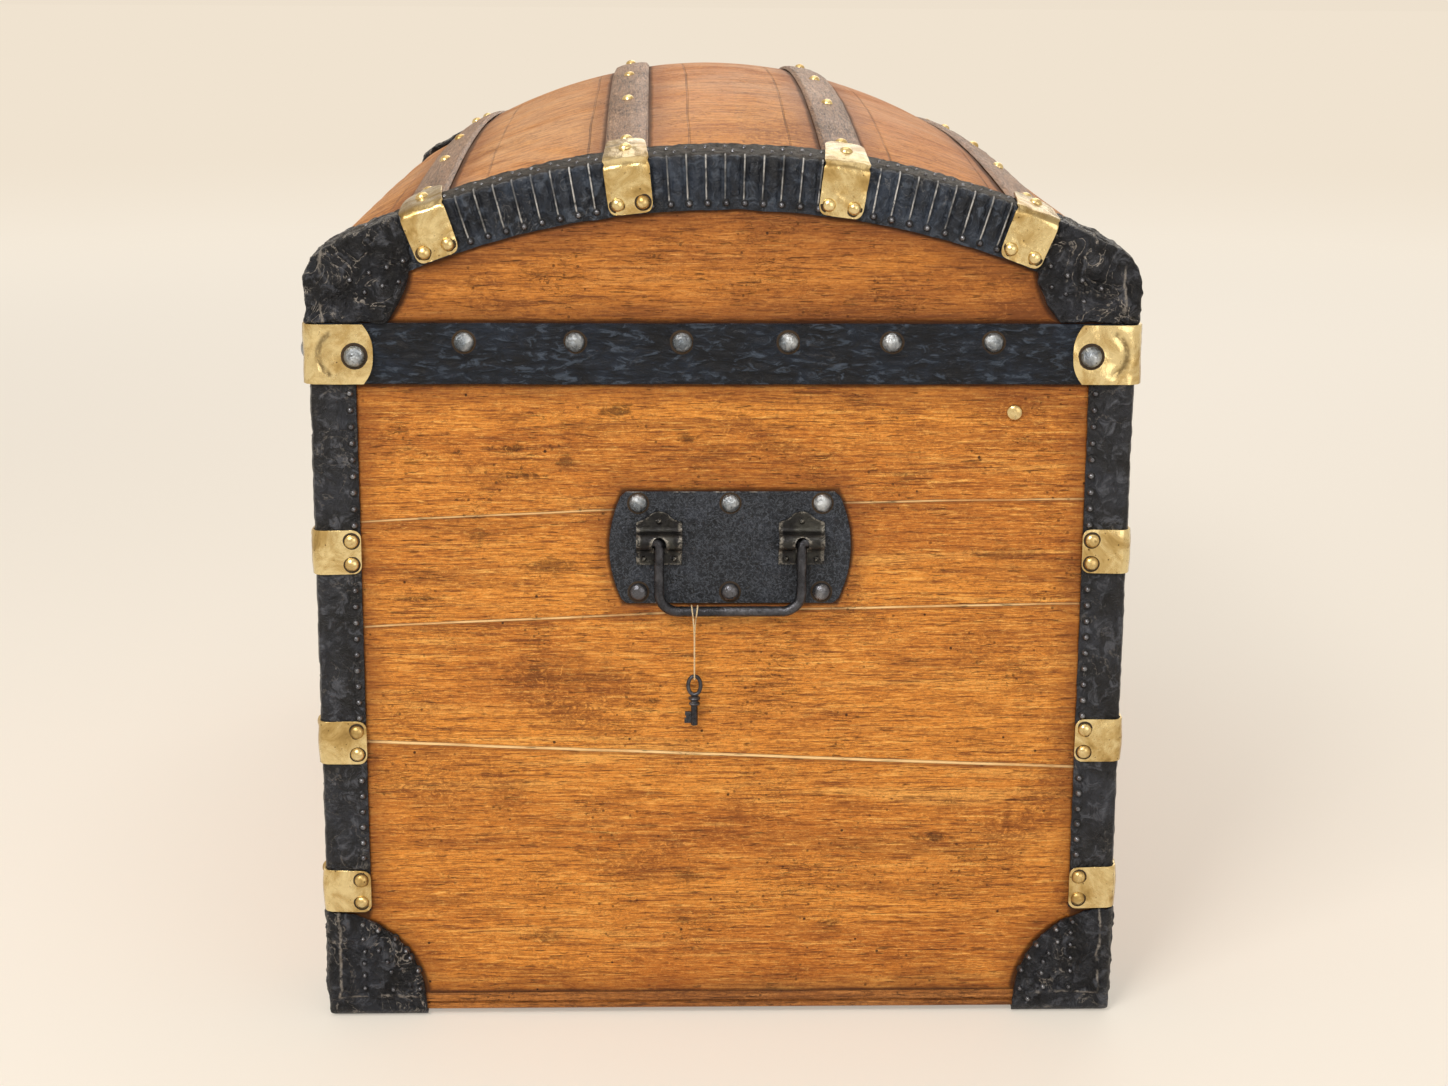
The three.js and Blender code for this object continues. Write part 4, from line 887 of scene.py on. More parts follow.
def followPath(points, share):  # a smooth line through a few points, and its direction there
    place = share * (len(points) - 1)
    index = min(int(place), len(points) - 2)
    part = place - index
    before = points[max(index - 1, 0)]
    first, second = points[index], points[index + 1]
    after = points[min(index + 2, len(points) - 1)]

    def smooth(i):
        a, b, c, d = before[i], first[i], second[i], after[i]
        spot = smoothSpot(a, b, c, d, part)
        slope = 0.5 * (c - a + 2 * part * (2 * a - 5 * b + 4 * c - d) + 3 * part**2 * (3 * (b - c) + d - a))
        return spot, slope

    (x, slopeX), (z, slopeZ) = smooth(0), smooth(1)
    length = math.hypot(slopeX, slopeZ) or 1
    return x, z, slopeX / length, slopeZ / length


def cornerCut(distance, radius):  # how much narrower a rounded plate is, this far from its end
    part = min(1, max(0, 1 - distance / radius))
    return radius * (1 - math.sqrt(1 - part * part))


def clampWidth(share):
    taper = 1 - 0.18 * max(0, (share - 0.6) / 0.4)
    neck = 1 - 0.07 * math.exp(-(((share - 0.52) / 0.05) ** 2))
    foot = cornerCut(share * clamp.length, clamp.cornerRadius)
    tail = cornerCut((1 - share) * clamp.length, clamp.cornerRadius)
    return clamp.halfWidth * taper * neck - foot - tail


def addRivet(heads, dirtShadeRims, place, out, radius, height):  # a head in a dark ring round it: dirt and painted shade
    addHead(heads, bigHead, place, out, radius, height)
    addHead(dirtShadeRims, tackHead if radius < 0.003 else bigHead, place, out, radius * 1.24, 0.0005, 0.0002)


def makeClamps():
    for end, alongX in ends.items():
        plates, rivets, dirtShadeRims = bmesh.new(), bmesh.new(), bmesh.new()
        for index, line in enumerate(battenLines):
            seed = 5 * index + 2 * alongX

            def place(u, v, level):
                share = ((u + 1) / 2) ** 1.4
                x, up, slopeX, slopeZ = followPath(clamp.path, share)
                thick = clamp.thickness * level
                x += slopeZ * thick
                up -= slopeX * thick
                across = math.sin(v * math.pi / 2) * clampWidth(share)
                dent = ripple(Vector((share * 3, v, seed)), 1.6, 0.0006, seed)
                mark = math.hypot(share * clamp.length - 0.0155, across - 0.001)
                ring = -0.0005 * math.exp(-(((mark - 0.0028) / 0.0012) ** 2))
                if share < 0.5:
                    x += dent + ring + 0.0006 * (1 - v * v) * level
                else:
                    up += dent + 0.0005 * (1 - v * v)
                return onDome(alongX * (clamp.front + x), line, across, up)

            slab(plates, clamp.steps, 24, place)
            for side in (-1, 1):
                at = alongX * (clamp.front + clamp.thickness + 0.0005)
                spot = onDome(at, line, side * clamp.rivetSpread, clamp.rivetLow)
                out = Vector((alongX, 0, 0))
                addRivet(rivets, dirtShadeRims, spot, out, clamp.rivetRadius, clamp.rivetHeight)
            x = alongX * (clamp.front + clamp.nailBack)
            spot = onDome(x, line, 0, clamp.nailLift)
            out = (onDome(x, line, 0, 1) - onDome(x, line, 0, 0)).normalized()
            addHead(rivets, bigHead, spot, out, clamp.nailRadius, 0.0028, 0.0014)
        replaced = [f"batten_clamp_{end}_{i + 1}" for i in range(len(battenLines))]
        finishSheet(f"battenClamps.{end}", plates, clampBrass, "lid", replaced)
        finishPiece(f"battenClampRivets.{end}", rivets, brass, "lid")
        finishPiece(f"battenClampDirtAndShade.{end}", dirtShadeRims, rimDirtAndShade, "lid")


makeBattens()
makeClamps()
print("battens and clamps are made")


# Pleated trim round the dome's ends

trim = Sizes(
    face=0.4183,
    thickness=0.0019,
    drop=0.0305,
    lap=0.022,
    fold=0.0032,
    pleat=0.012,
    ridge=0.0019,
    ridgeWidth=0.00065,
    bulge=0.0009,
    columns=1000,
    rows=28,
    tackRise=0.0042,
    tackedPleats=17,
    lapTacks=((0.0045, 0), (0.0135, 0.4)),  # in from the lap's edge, and along in pleats
    tackRadius=0.0023,
    tackHeight=0.002,
    lapTackRadius=0.0018,
)


def trimOutline(share):  # radial height, depth back over the top and turn, from the flap's foot on
    flap = trim.drop
    fold = trim.fold
    bend = fold * math.pi / 2
    run = share * (flap + bend + trim.lap)
    if run < flap:
        return run - flap, 0, 0
    if run < flap + bend:
        angle = (run - flap) / bend * math.pi / 2
        return (fold - 0.0022) * math.sin(angle), fold * (1 - math.cos(angle)), angle
    return fold - 0.0022, fold + run - flap - bend, math.pi / 2


def trimSkin(distance, up, back, turn, alongX):  # the leather's height above its plain thickness
    into = distance - round(distance / trim.pleat) * trim.pleat
    number = round(distance / trim.pleat)
    above = min(1, max(0, (up + trim.drop - 0.006) / 0.004))
    above *= min(1, max(0, (0.199 - abs(distance)) / 0.003))
    over = max(0, 1 - back / 0.004)
    lean = 1 + 0.22 * math.sin(number * 2.3)
    rib = trim.ridge * lean * math.exp(-((into / trim.ridgeWidth) ** 2))
    groove = 0.0006 * math.exp(-(((abs(into) - 0.0021) / 0.0009) ** 2))
    bulge = trim.bulge * math.sin(math.pi * abs(into) / trim.pleat) ** 2
    spot = Vector((distance, back + up, alongX))
    rumple = ripple(spot, 70, 0.0006, 3)
    lap = noise.ridged_multi_fractal(spot * 110, 1.0, 2.1, 3, 1.0, 2.0) * 0.0006 if turn else 0
    return (rib - groove + bulge) * above * over + rumple * 0.7 + lap * (1 - over)


def makeTrims():
    reach = meetAngle * 0.985
    radius = domeRadius
    for end, alongX in ends.items():
        bm, tacks, rings = (bmesh.new() for _ in range(3))

        def place(u, v, level):
            angle = u * reach
            up, back, turn = trimOutline((v + 1) / 2)
            distance = angle * radius
            thick = (trim.thickness + trimSkin(distance, up, back, turn, alongX)) * level
            x = trim.face - back + math.cos(turn) * thick
            rise = up + math.sin(turn) * thick
            edge = 0.0014 * noise.noise(Vector((distance * 55, alongX, 4)))
            if v > 0.999:
                x += edge
            if v < -0.999:
                rise += edge * 0.6
            flare = radius + rise
            spot = Vector((alongX * x, flare * math.sin(angle), domeCentre + flare * math.cos(angle)))
            spot.z += archRise(x, spot.y) if x < endFace else 0
            return spot

        slab(bm, trim.columns, trim.rows, place)
        finishPiece(f"pleatedTrim.{end}", bm, trimLeather, "lid", [f"dome_trim_{end}"], sharp=75)
        count = int(reach * radius / trim.pleat)
        for number in range(-count, count + 1):
            angle = (number * trim.pleat + 0.0008) / radius
            low = radius - trim.drop + trim.tackRise
            x = alongX * (trim.face + trim.thickness + 0.0008)
            spot = Vector((x, low * math.sin(angle), domeCentre + low * math.cos(angle)))
            out = Vector((alongX, 0, 0))
            if abs(number) < trim.tackedPleats:
                addTack(tacks, rings, spot, out, trim.tackRadius, trim.tackHeight, 0.002)
            for inset, shift in trim.lapTacks:
                back = endFace + 0.001 - trim.lap + inset
                tilt = (number + shift) * trim.pleat / radius
                if abs(tilt) > reach:
                    continue
                high = radius + trim.thickness + trim.fold - 0.0016
                y = high * math.sin(tilt)
                spot = Vector((alongX * back, y, domeCentre + high * math.cos(tilt)))
                spot.z += archRise(back, y)
                out = Vector((0, math.sin(tilt), math.cos(tilt)))
                addHead(tacks, tackHead, spot, out, trim.lapTackRadius, 0.0012, 0.0018)
        finishTacks("trim", end, tacks, rings, "lid")


makeTrims()
print("pleated trims are made")


# Moulded leather caps

cap = Sizes(
    voxel=0.001,
    crumple=0.0011,
    crease=0.0009,
    grain=0.0004,
    thickness=0.0039,
    footRadius=0.0085,
    foldAside=0.006,
    foldRise=0.0155,
    fold=0.0009,
    lowReach=0.957,
    tackRadius=0.0021,
    tackHeight=0.0024,
)
lowTacks = {  # in from the corner and up, in millimetres
    "front": [
        (21, 66), (31, 62), (42, 56), (49, 47.5), (51.5, 42.5), (56.5, 33.5), (57.5, 21), (21, 56),
        (22, 47.5), (21.5, 39), (21.5, 30.5), (21.5, 21.5), (31, 48), (36.5, 40), (39, 33),
        (40, 20.5),
    ],
    "back": [
        (24, 65.5), (34.5, 60), (47, 49), (52, 40.5), (57, 31.5), (57.5, 18.5), (52, 11), (25, 58),
        (25, 49.5), (24.5, 40), (24.5, 31), (25, 19.5), (33.5, 51.5), (39, 43.5), (42.5, 37.5),
        (43.5, 29.5), (42, 19.5),
    ],
}
highTacks = {
    "front": [(25, 490.5), (34, 483), (37, 495), (45, 487), (48, 498.5), (55, 489.5), (58, 502.5)],
    "back": [(22, 486), (34, 491), (43.5, 494), (54, 500), (32.5, 478), (44, 482.5), (53, 487)],
}


def softCopy(node, seed, low):  # the node's shape with rounded edges and a crumpled skin
    bm = bmesh.new()
    bm.from_mesh(nodes[node].data)
    bmesh.ops.remove_doubles(bm, verts=bm.verts[:], dist=0.00001)
    rough = bpy.data.meshes.new("rough")
    bm.to_mesh(rough)
    bm.free()
    holder = bpy.data.objects.new("holder", rough)
    bpy.context.collection.objects.link(holder)
    remesh = holder.modifiers.new("voxels", "REMESH")
    remesh.mode = "VOXEL"
    remesh.voxel_size = cap.voxel
    shown = holder.evaluated_get(bpy.context.evaluated_depsgraph_get())
    bm = bmesh.new()
    bm.from_mesh(shown.to_mesh())
    shown.to_mesh_clear()
    bpy.data.objects.remove(holder)
    bpy.data.meshes.remove(rough)
    everyAxis = {f"use_axis_{axis}": True for axis in "xyz"}
    for _ in range(5):
        bmesh.ops.smooth_vert(bm, verts=bm.verts[:], factor=0.5, **everyAxis)
    bm.normal_update()
    moves = {}
    for vert in bm.verts:
        spot = vert.co
        drift = Vector((seed, 0, seed))
        fold = noise.fractal(spot * 62 + drift, 0.8, 2.0, 3) * cap.crumple
        bend = abs(noise.noise(spot * 42 + drift) + 0.4 * noise.noise(spot * 95 + drift))
        crease = cap.crease * math.exp(-((bend / 0.07) ** 2))
        push = fold + crease + ripple(spot, 170, cap.grain, seed)
        if low:
            wander = 0.0022 * noise.noise(spot * 45 + drift)
            onEnd = max(abs(spot.y) - longFace + cap.foldAside, cap.foldRise - spot.z)
            onSide = max(abs(spot.x) - endFace + cap.foldAside, cap.foldRise - spot.z)
            beyond = (onEnd if abs(vert.normal.x) > abs(vert.normal.y) else onSide) + wander
            push += cap.fold * math.exp(-((beyond / 0.0013) ** 2))
            push -= 0.0006 * min(1, max(0, beyond / 0.002))
        move = vert.normal * max(min(push, 0.0017), -0.0013)
        for axis, other, face, far in ((0, 1, endFace, longFace), (1, 0, longFace, endFace)):
            if low and abs(spot[axis]) > face and abs(spot[other]) < far - 0.004:
                move[other] *= 0.3
                move.z *= 0.3
        moves[vert] = move
    for vert, move in moves.items():
        vert.co += move
        for axis, limit in ((0, endFace + cap.thickness), (1, longFace + cap.thickness)):
            if low:
                inside = (limit - abs(vert.co[axis])) * cap.lowReach
                vert.co[axis] = math.copysign(limit - inside, vert.co[axis])
    if low:
        roundFoot(bm)
    return bm


def roundFoot(bm):  # the cap's lower edges, rolled under
    radius = cap.footRadius
    for vert in bm.verts:
        for axis, limit in ((0, endFace + cap.thickness), (1, longFace + cap.thickness)):
            beyond = abs(vert.co[axis]) - (limit - radius)
            below = radius - vert.co.z
            reach = math.hypot(beyond, below)
            if beyond > 0 and below > 0 and reach > radius:
                vert.co[axis] = math.copysign(limit - radius + beyond * radius / reach, vert.co[axis])
                vert.co.z = radius - below * radius / reach
        vert.co.z = max(vert.co.z, 0.0002)


def capTacks(corner, places, top):
    alongX, alongY = corner
    tacks, rings = bmesh.new(), bmesh.new()
    lift = cap.thickness + 0.0008
    size = (cap.tackRadius, cap.tackHeight, 0.0024)
    for inset, height in places:
        aside, z = inset / 1000, height / 1000
        onEnd = Vector((alongX * (endFace + lift), alongY * (longFace - aside), z))
        onSide = Vector((alongX * (endFace - aside), alongY * (longFace + lift), z))
        addTack(tacks, rings, onEnd, Vector((alongX, 0, 0)), *size)
        if not top or z < shoulder - 0.001:
            addTack(tacks, rings, onSide, Vector((0, alongY, 0)), *size)
    return tacks, rings


def makeCaps():
    kinds = (
        ("bottom", "trunk_body", capLeather, lowTacks),
        ("top", "lid", topCapLeather, highTacks),
    )
    for end, side, alongX, alongY in corners:
        for kind, body, leather, places in kinds:
            low = kind == "bottom"
            node = f"{kind}_cap_{end}_{side}"
            bm = softCopy(node, 3 * alongX + 7 * alongY + len(kind), low)
            finishPiece(f"{kind}Cap.{end}.{side}", bm, leather, body, [node], sharp=180)
            tacks, rings = capTacks((alongX, alongY), places[side], not low)
            finishTacks(f"{kind}Cap", f"{end}.{side}", tacks, rings, body)


makeCaps()
print("corner caps are made")


# Corner strips, their clamps, the band and its clasps

strip = Sizes(
    width=0.0262,
    offset=0.0003,
    thickness=0.0026,
    low=0.0749,
    high=0.4249,
    tackSpacing=0.0106,
    tackInset=0.004,
    tackRadius=0.0023,
    tackHeight=0.0021,
    clampWidth=0.0267,
    clampHeight=0.0287,
    clampShares=[0, 0.316, 0.709],
    clampCorner=0.0055,
    rivetInset=0.0062,
    rivetShares=[0.24, 0.76],
    rivetRadius=0.0046,
    rivetHeight=0.003,
)
band = Sizes(
    inner=0.0007,
    outer=0.0037,
    nailShares=[-0.632, -0.363, -0.103, 0.156, 0.409, 0.657],
    nailLift=0.0076,
    nailRadius=0.0063,
    nailHeight=0.0042,
    sideRun=0.7486,
    sideNails=9,
    hingeRoom=0.03,  # either side of the hasp's hinge, in front
    claspWidth=0.0368,
    claspInner=0.004,
    claspThickness=0.002,
    rivetInset=0.0107,
    crescentCentre=0.019,
    crescentRadius=0.0149,
    rivetRadius=0.0068,
    rivetHeight=0.0042,
)


def bendAt(run, z, corner):  # near nought where a stiff leather strip is creased
    spot = Vector((run * 38, z * 30, corner[0] * 3 + corner[1]))
    return noise.noise(spot) + 0.4 * noise.noise(spot * 2.3)


def makeStrips():
    height = strip.high - strip.low
    outer = strip.offset + strip.thickness
    for end, side, alongX, alongY in corners:
        corner = (alongX, alongY)
        leather, plates, rivets, tacks, dirtShadeRims, rings = (bmesh.new() for _ in range(6))

        def leatherPlace(u, v, level):
            edge = 0.0005 * noise.noise(Vector((v * 14, alongX * 3, alongY + u)))
            run = u * (strip.width + (edge if abs(u) > 0.99 else 0))
            z = strip.low + (v + 1) / 2 * height
            place, out = roundCorner(corner, run, strip.offset)
            place.z = z
            lump = ripple(Vector((run, z, alongX + 2 * alongY)), 70, 0.0006, 5)
            lump -= 0.0004 * math.exp(-((bendAt(run, z, corner) / 0.09) ** 2))
            return place + out * (strip.thickness + lump - 0.0002) * level

        slab(leather, 26, 170, leatherPlace)
        name = f"{end}.{side}"
        node = f"corner_strip_{end}_{side}"
        finishSheet(f"cornerStrip.{name}", leather, stripLeather, "trunk_body", [node])
        clampSpans = []
        for number, share in enumerate(strip.clampShares):
            low = strip.low + share * (height - strip.clampHeight)
            high = low + strip.clampHeight
            clampSpans.append((low, high))

            def clampPlace(u, v, level):
                v = math.sin(v * math.pi / 2)
                inside = (1 - abs(v)) * strip.clampHeight / 2
                run = u * (strip.clampWidth - cornerCut(inside, strip.clampCorner))
                lean = 0.0004 * math.sin(number * 5 + alongX)
                place, out = roundCorner(corner, run, outer)
                place.z = (low + high) / 2 + v * strip.clampHeight / 2 + lean * u
                bulge = 0.0005 * (1 - v * v) + ripple(Vector((run, place.z, number)), 60, 0.0004, number)
                return place + out * (0.0001 + bulge + 0.0012 * level)

            slab(plates, 30, 20, clampPlace)
            for across in (-1, 1):
                for rise in strip.rivetShares:
                    run = across * (strip.clampWidth - strip.rivetInset)
                    place, out = roundCorner(corner, run, outer + 0.0016)
                    place.z = low + rise * strip.clampHeight
                    addRivet(rivets, dirtShadeRims, place, out, strip.rivetRadius, strip.rivetHeight)
        finishSheet(f"stripClamps.{name}", plates, brass, "trunk_body")
        finishPiece(f"stripRivets.{name}", rivets, brass, "trunk_body")
        finishPiece(f"stripDirtAndShade.{name}", dirtShadeRims, rimDirtAndShade, "trunk_body")
        count = int(height / strip.tackSpacing)
        for step in range(count):
            z = strip.low + (step + 0.5) * strip.tackSpacing
            if any(low - 0.002 < z < high + 0.002 for low, high in clampSpans):
                continue
            for across in (-1, 1):
                wander = 0.0004 * math.sin(step * 12.9 + across)
                run = across * (strip.width - strip.tackInset + wander)
                place, out = roundCorner(corner, run, outer + 0.0005)
                place.z = z
                addTack(tacks, rings, place, out, strip.tackRadius, strip.tackHeight, 0.0014)
        finishTacks("strip", name, tacks, rings, "trunk_body")


def makeBand():
    hide, nails, dirtShadeRims = (bmesh.new() for _ in range(3))
    halfHeight = (bandTop - bandLow) / 2
    middle = bandLow + halfHeight
    thickness = band.outer - band.inner

    for corner, onEnd in (((1, -1), True), ((1, 1), False), ((-1, 1), True), ((-1, -1), False)):
        half = longFace if onEnd else endFace

        def place(u, v, level):
            near = corner if u < 0 else (corner[0], -corner[1]) if onEnd else (-corner[0], corner[1])
            run = (1 - abs(u)) * half * (-1 if onEnd else 1)
            spot, out = roundCorner(near, run, band.inner)
            spot.z = middle + v * halfHeight
            lump = ripple(Vector((spot.x, spot.y, spot.z * 2)), 45, 0.0004, 8)
            wave = 0.0003 * noise.noise(Vector((spot.x * 20, spot.y * 20, v)))
            if abs(v) > 0.99:
                spot.z += wave
            return spot + out * (thickness + lump - 0.0001) * level

        slab(hide, 120 if onEnd else 180, 10, place)
    finishSheet("lidBand", hide, bandLeather, "lid", ["lid_band"], bevel=0.0006)
    z = middle + band.nailLift
    places = []
    for alongX in ends.values():
        for share in band.nailShares:
            spot = Vector((alongX * (endFace + band.outer), share * longFace, z))
            places.append((spot, Vector((alongX, 0, 0))))
    for alongY in sides.values():
        for number in range(band.sideNails):
            x = band.sideRun * ((number + 0.5) / band.sideNails - 0.5)
            if alongY > 0 or abs(x) >= band.hingeRoom:
                spot = Vector((x, alongY * (longFace + band.outer), z))
                places.append((spot, Vector((0, alongY, 0))))
    for spot, out in places:
        addRivet(nails, dirtShadeRims, spot, out, band.nailRadius, band.nailHeight)
    finishPiece("bandNails", nails, steel, "lid")
    finishPiece("bandDirtAndShade", dirtShadeRims, rimDirtAndShade, "lid")


def makeClasps():
    halfHeight = (bandTop - bandLow) / 2 - 0.0003
    middle = (bandTop + bandLow) / 2
    rivets, dirtShadeRims = bmesh.new(), bmesh.new()
    for end, side, alongX, alongY in corners:
        corner = (alongX, alongY)
        plate = bmesh.new()

        def place(u, v, level):
            v = math.sin(v * math.pi / 2)
            limit = 1.02 - 0.17 * abs(v) ** 2.6
            run = math.sin(u * math.pi / 2) * band.claspWidth * limit
            spot, out = roundCorner(corner, run, band.claspInner)
            spot.z = middle + v * halfHeight
            aside = abs(run) - band.crescentCentre
            away = math.hypot(aside, spot.z - middle)
            part = min(1, max(0, (-0.0055 - aside) / 0.003))
            crescent = 0.0016 * math.exp(-(((away - band.crescentRadius) / 0.002) ** 2)) * part
            dent = ripple(Vector((run, spot.z, alongX * 2 + alongY)), 55, 0.0008, 9) - crescent
            return spot + out * (0.0002 + dent * (0.4 + 0.6 * level) + band.claspThickness * level)

        slab(plate, 64, 26, place)
        node = f"band_clasp_{end}_{side}"
        finishSheet(f"bandClasp.{end}.{side}", plate, claspBrass, "lid", [node], bevel=0.0005)
        for across in (-1, 1):
            run = across * (band.claspWidth - band.rivetInset)
            lift = band.claspInner + band.claspThickness + 0.0006
            spot, out = roundCorner(corner, run, lift)
            spot.z = middle - 0.001
            addRivet(rivets, dirtShadeRims, spot, out, band.rivetRadius, band.rivetHeight)
    finishPiece("claspRivets", rivets, steel, "lid")
    finishPiece("claspDirtAndShade", dirtShadeRims, rimDirtAndShade, "lid")


makeStrips()
makeBand()
makeClasps()
print("strips, band and clasps are made")


# Handles

handle = Sizes(
    shift=0.0045,
    height=0.3197,
    plateBack=0.4183,
    plateFace=0.4199,
    halfWidth=0.077,
    halfEnd=0.0682,
    halfHeight=0.0365,
    nailSpread=0.0585,
    nailRise=0.029,
    nailRadius=0.006,
    nailHeight=0.0039,
    bracketSpread=0.0453,
    bracketHalf=0.0145,
    bracketThickness=0.0016,
    pivotRise=0.0053,
    pivotOut=0.4255,
    bailRadius=0.0033,
    bailDrop=0.0458,
    bailBend=0.012,
    bailElbow=0.0034,
    notchHalf=0.0045,
)


def outlinePlate(points, low, high, place):  # a flat sheet from an outline, with place giving each point
    bm = bmesh.new()
    face = bm.faces.new([bm.verts.new(place(a, b, low)) for a, b in points])
    grown = bmesh.ops.extrude_face_region(bm, geom=[face])["geom"]
    for item in grown:
        if isinstance(item, bmesh.types.BMVert):
            item.co += place(0, 0, high) - place(0, 0, low)
    bmesh.ops.recalc_face_normals(bm, faces=bm.faces[:])
    return bm


def cutAway(bm, cutter):  # takes the cutter's shape out of the first one
    objects = []
    for shape in (bm, cutter):
        mesh = bpy.data.meshes.new("shape")
        shape.to_mesh(mesh)
        shape.free()
        objects.append(bpy.data.objects.new("shape", mesh))
        bpy.context.collection.objects.link(objects[-1])
    cut = objects[0].modifiers.new("cut", "BOOLEAN")
    cut.operation = "DIFFERENCE"
    cut.solver = "EXACT"
    cut.object = objects[1]
    shown = objects[0].evaluated_get(bpy.context.evaluated_depsgraph_get())
    result = bmesh.new()
    result.from_mesh(shown.to_mesh())
    shown.to_mesh_clear()
    for item in objects:
        mesh = item.data
        bpy.data.objects.remove(item)
        bpy.data.meshes.remove(mesh)
    return result


def rod(bm, radius, start, finish, around=28):
    middle, reach = (start + finish) / 2, finish - start
    turn = reach.to_track_quat("Z", "Y")
    bmesh.ops.create_cone(
        bm,
        cap_ends=True,
        segments=around,
        radius1=radius,
        radius2=radius,
        depth=reach.length,
        matrix=Matrix.LocRotScale(middle, turn, None),
    )


def tube(name, points, radius, around):
    curve = bpy.data.curves.new(name, "CURVE")
    curve.dimensions = "3D"
    curve.bevel_depth = radius
    curve.bevel_resolution = around
    curve.use_fill_caps = True
    line = curve.splines.new("POLY")
    line.points.add(len(points) - 1)
    for spot, point in zip(line.points, points):
        spot.co = (*point, 1)
    made = bpy.data.objects.new(name, curve)
    bpy.context.collection.objects.link(made)
    return made


def bentRod(name, points, radius, material, body, replaced=(), around=5):
    holder = tube(name + "Line", points, radius, around)
    mesh = holder.to_mesh().copy()
    holder.to_mesh_clear()
    bpy.data.objects.remove(holder)
    bm = bmesh.new()
    bm.from_mesh(mesh)
    bpy.data.meshes.remove(mesh)
    bmesh.ops.remove_doubles(bm, verts=bm.verts[:], dist=0.00001)
    bmesh.ops.recalc_face_normals(bm, faces=bm.faces[:])
    return finishPiece(name, bm, material, body, replaced, sharp=60)


def plateOutline():
    points = []
    for side in (1, -1):
        for step in range(-12, 13):
            v = step / 12
            y = handle.halfEnd + (handle.halfWidth - handle.halfEnd) * (1 - v * v)
            cut = 0.0022 * max(0, abs(v) - 0.93) / 0.07
            points.append((side * (y - cut), side * v * handle.halfHeight))
    return points


def bracketHalf(z):  # half the width of a bracket's leaf, at a height over its pivot
    for (low, first), (high, second) in zip(bracket.crown, bracket.crown[1:]):
        if z <= high:
            return first + (second - first) * max(0, (z - low) / (high - low))
    return bracket.crown[-1][1]


bracket = Sizes(
    path=[  # out from the plate and up from the pivot, down the leaf and round the knuckle
        (0, 0.0185), (0, 0.0145), (0, 0.0105), (0.0001, 0.0078), (0.0009, 0.0057), (0.0027, 0.0043),
        (0.0053, 0.0039), (0.0081, 0.0027), (0.0092, 0), (0.0081, -0.0027), (0.0053, -0.0039),
        (0.0027, -0.0045), (0.0009, -0.0062), (0, -0.0085), (0, -0.012), (0, -0.0158),
    ],
    crown=[  # height and half width of the leaf, up to its tip
        (0, 0.0145), (0.0116, 0.0145), (0.0122, 0.0128), (0.0134, 0.0094), (0.0152, 0.0071),
        (0.0168, 0.0054), (0.0179, 0.0034), (0.0186, 0.0006),
    ],
    steps=90,
    archHeight=-0.001,
    rivets=((0, 0.0122), (0.0098, -0.0122), (-0.0098, -0.0122)),
    rivetRadius=0.0021,
    rivetHeight=0.0014,
)


def makeBracket(alongX, middle, pivot, back):
    leaf = bmesh.new()

    def place(u, v, level):
        x, z, slopeX, slopeZ = followPath(bracket.path, (1 - u) / 2)
        thick = handle.bracketThickness * level
        x -= slopeZ * thick
        z += slopeX * thick
        dent = ripple(Vector((x, v * 0.02, z + middle)), 120, 0.0002, 4)
        half = bracketHalf(z)
        return Vector((alongX * (back + x + dent * level), middle + v * half, pivot.z + z))

    slab(leaf, bracket.steps, 16, place)
    notch = bmesh.new()
    half = handle.notchHalf
    near = back + handle.bracketThickness + 0.0002
    arch = pivot.z + bracket.archHeight
    top = [Vector((alongX * x, middle, arch)) for x in (near, near + 0.03)]
    rod(notch, half, top[0], top[1], 32)
    size = Vector((0.03, 2 * half, 0.03))
    spot = Vector((alongX * (near + 0.015), middle, arch - 0.015))
    box = bmesh.new()
    bmesh.ops.create_cube(box, size=1, matrix=Matrix.LocRotScale(spot, None, size))
    return cutAway(cutAway(leaf, notch), box)


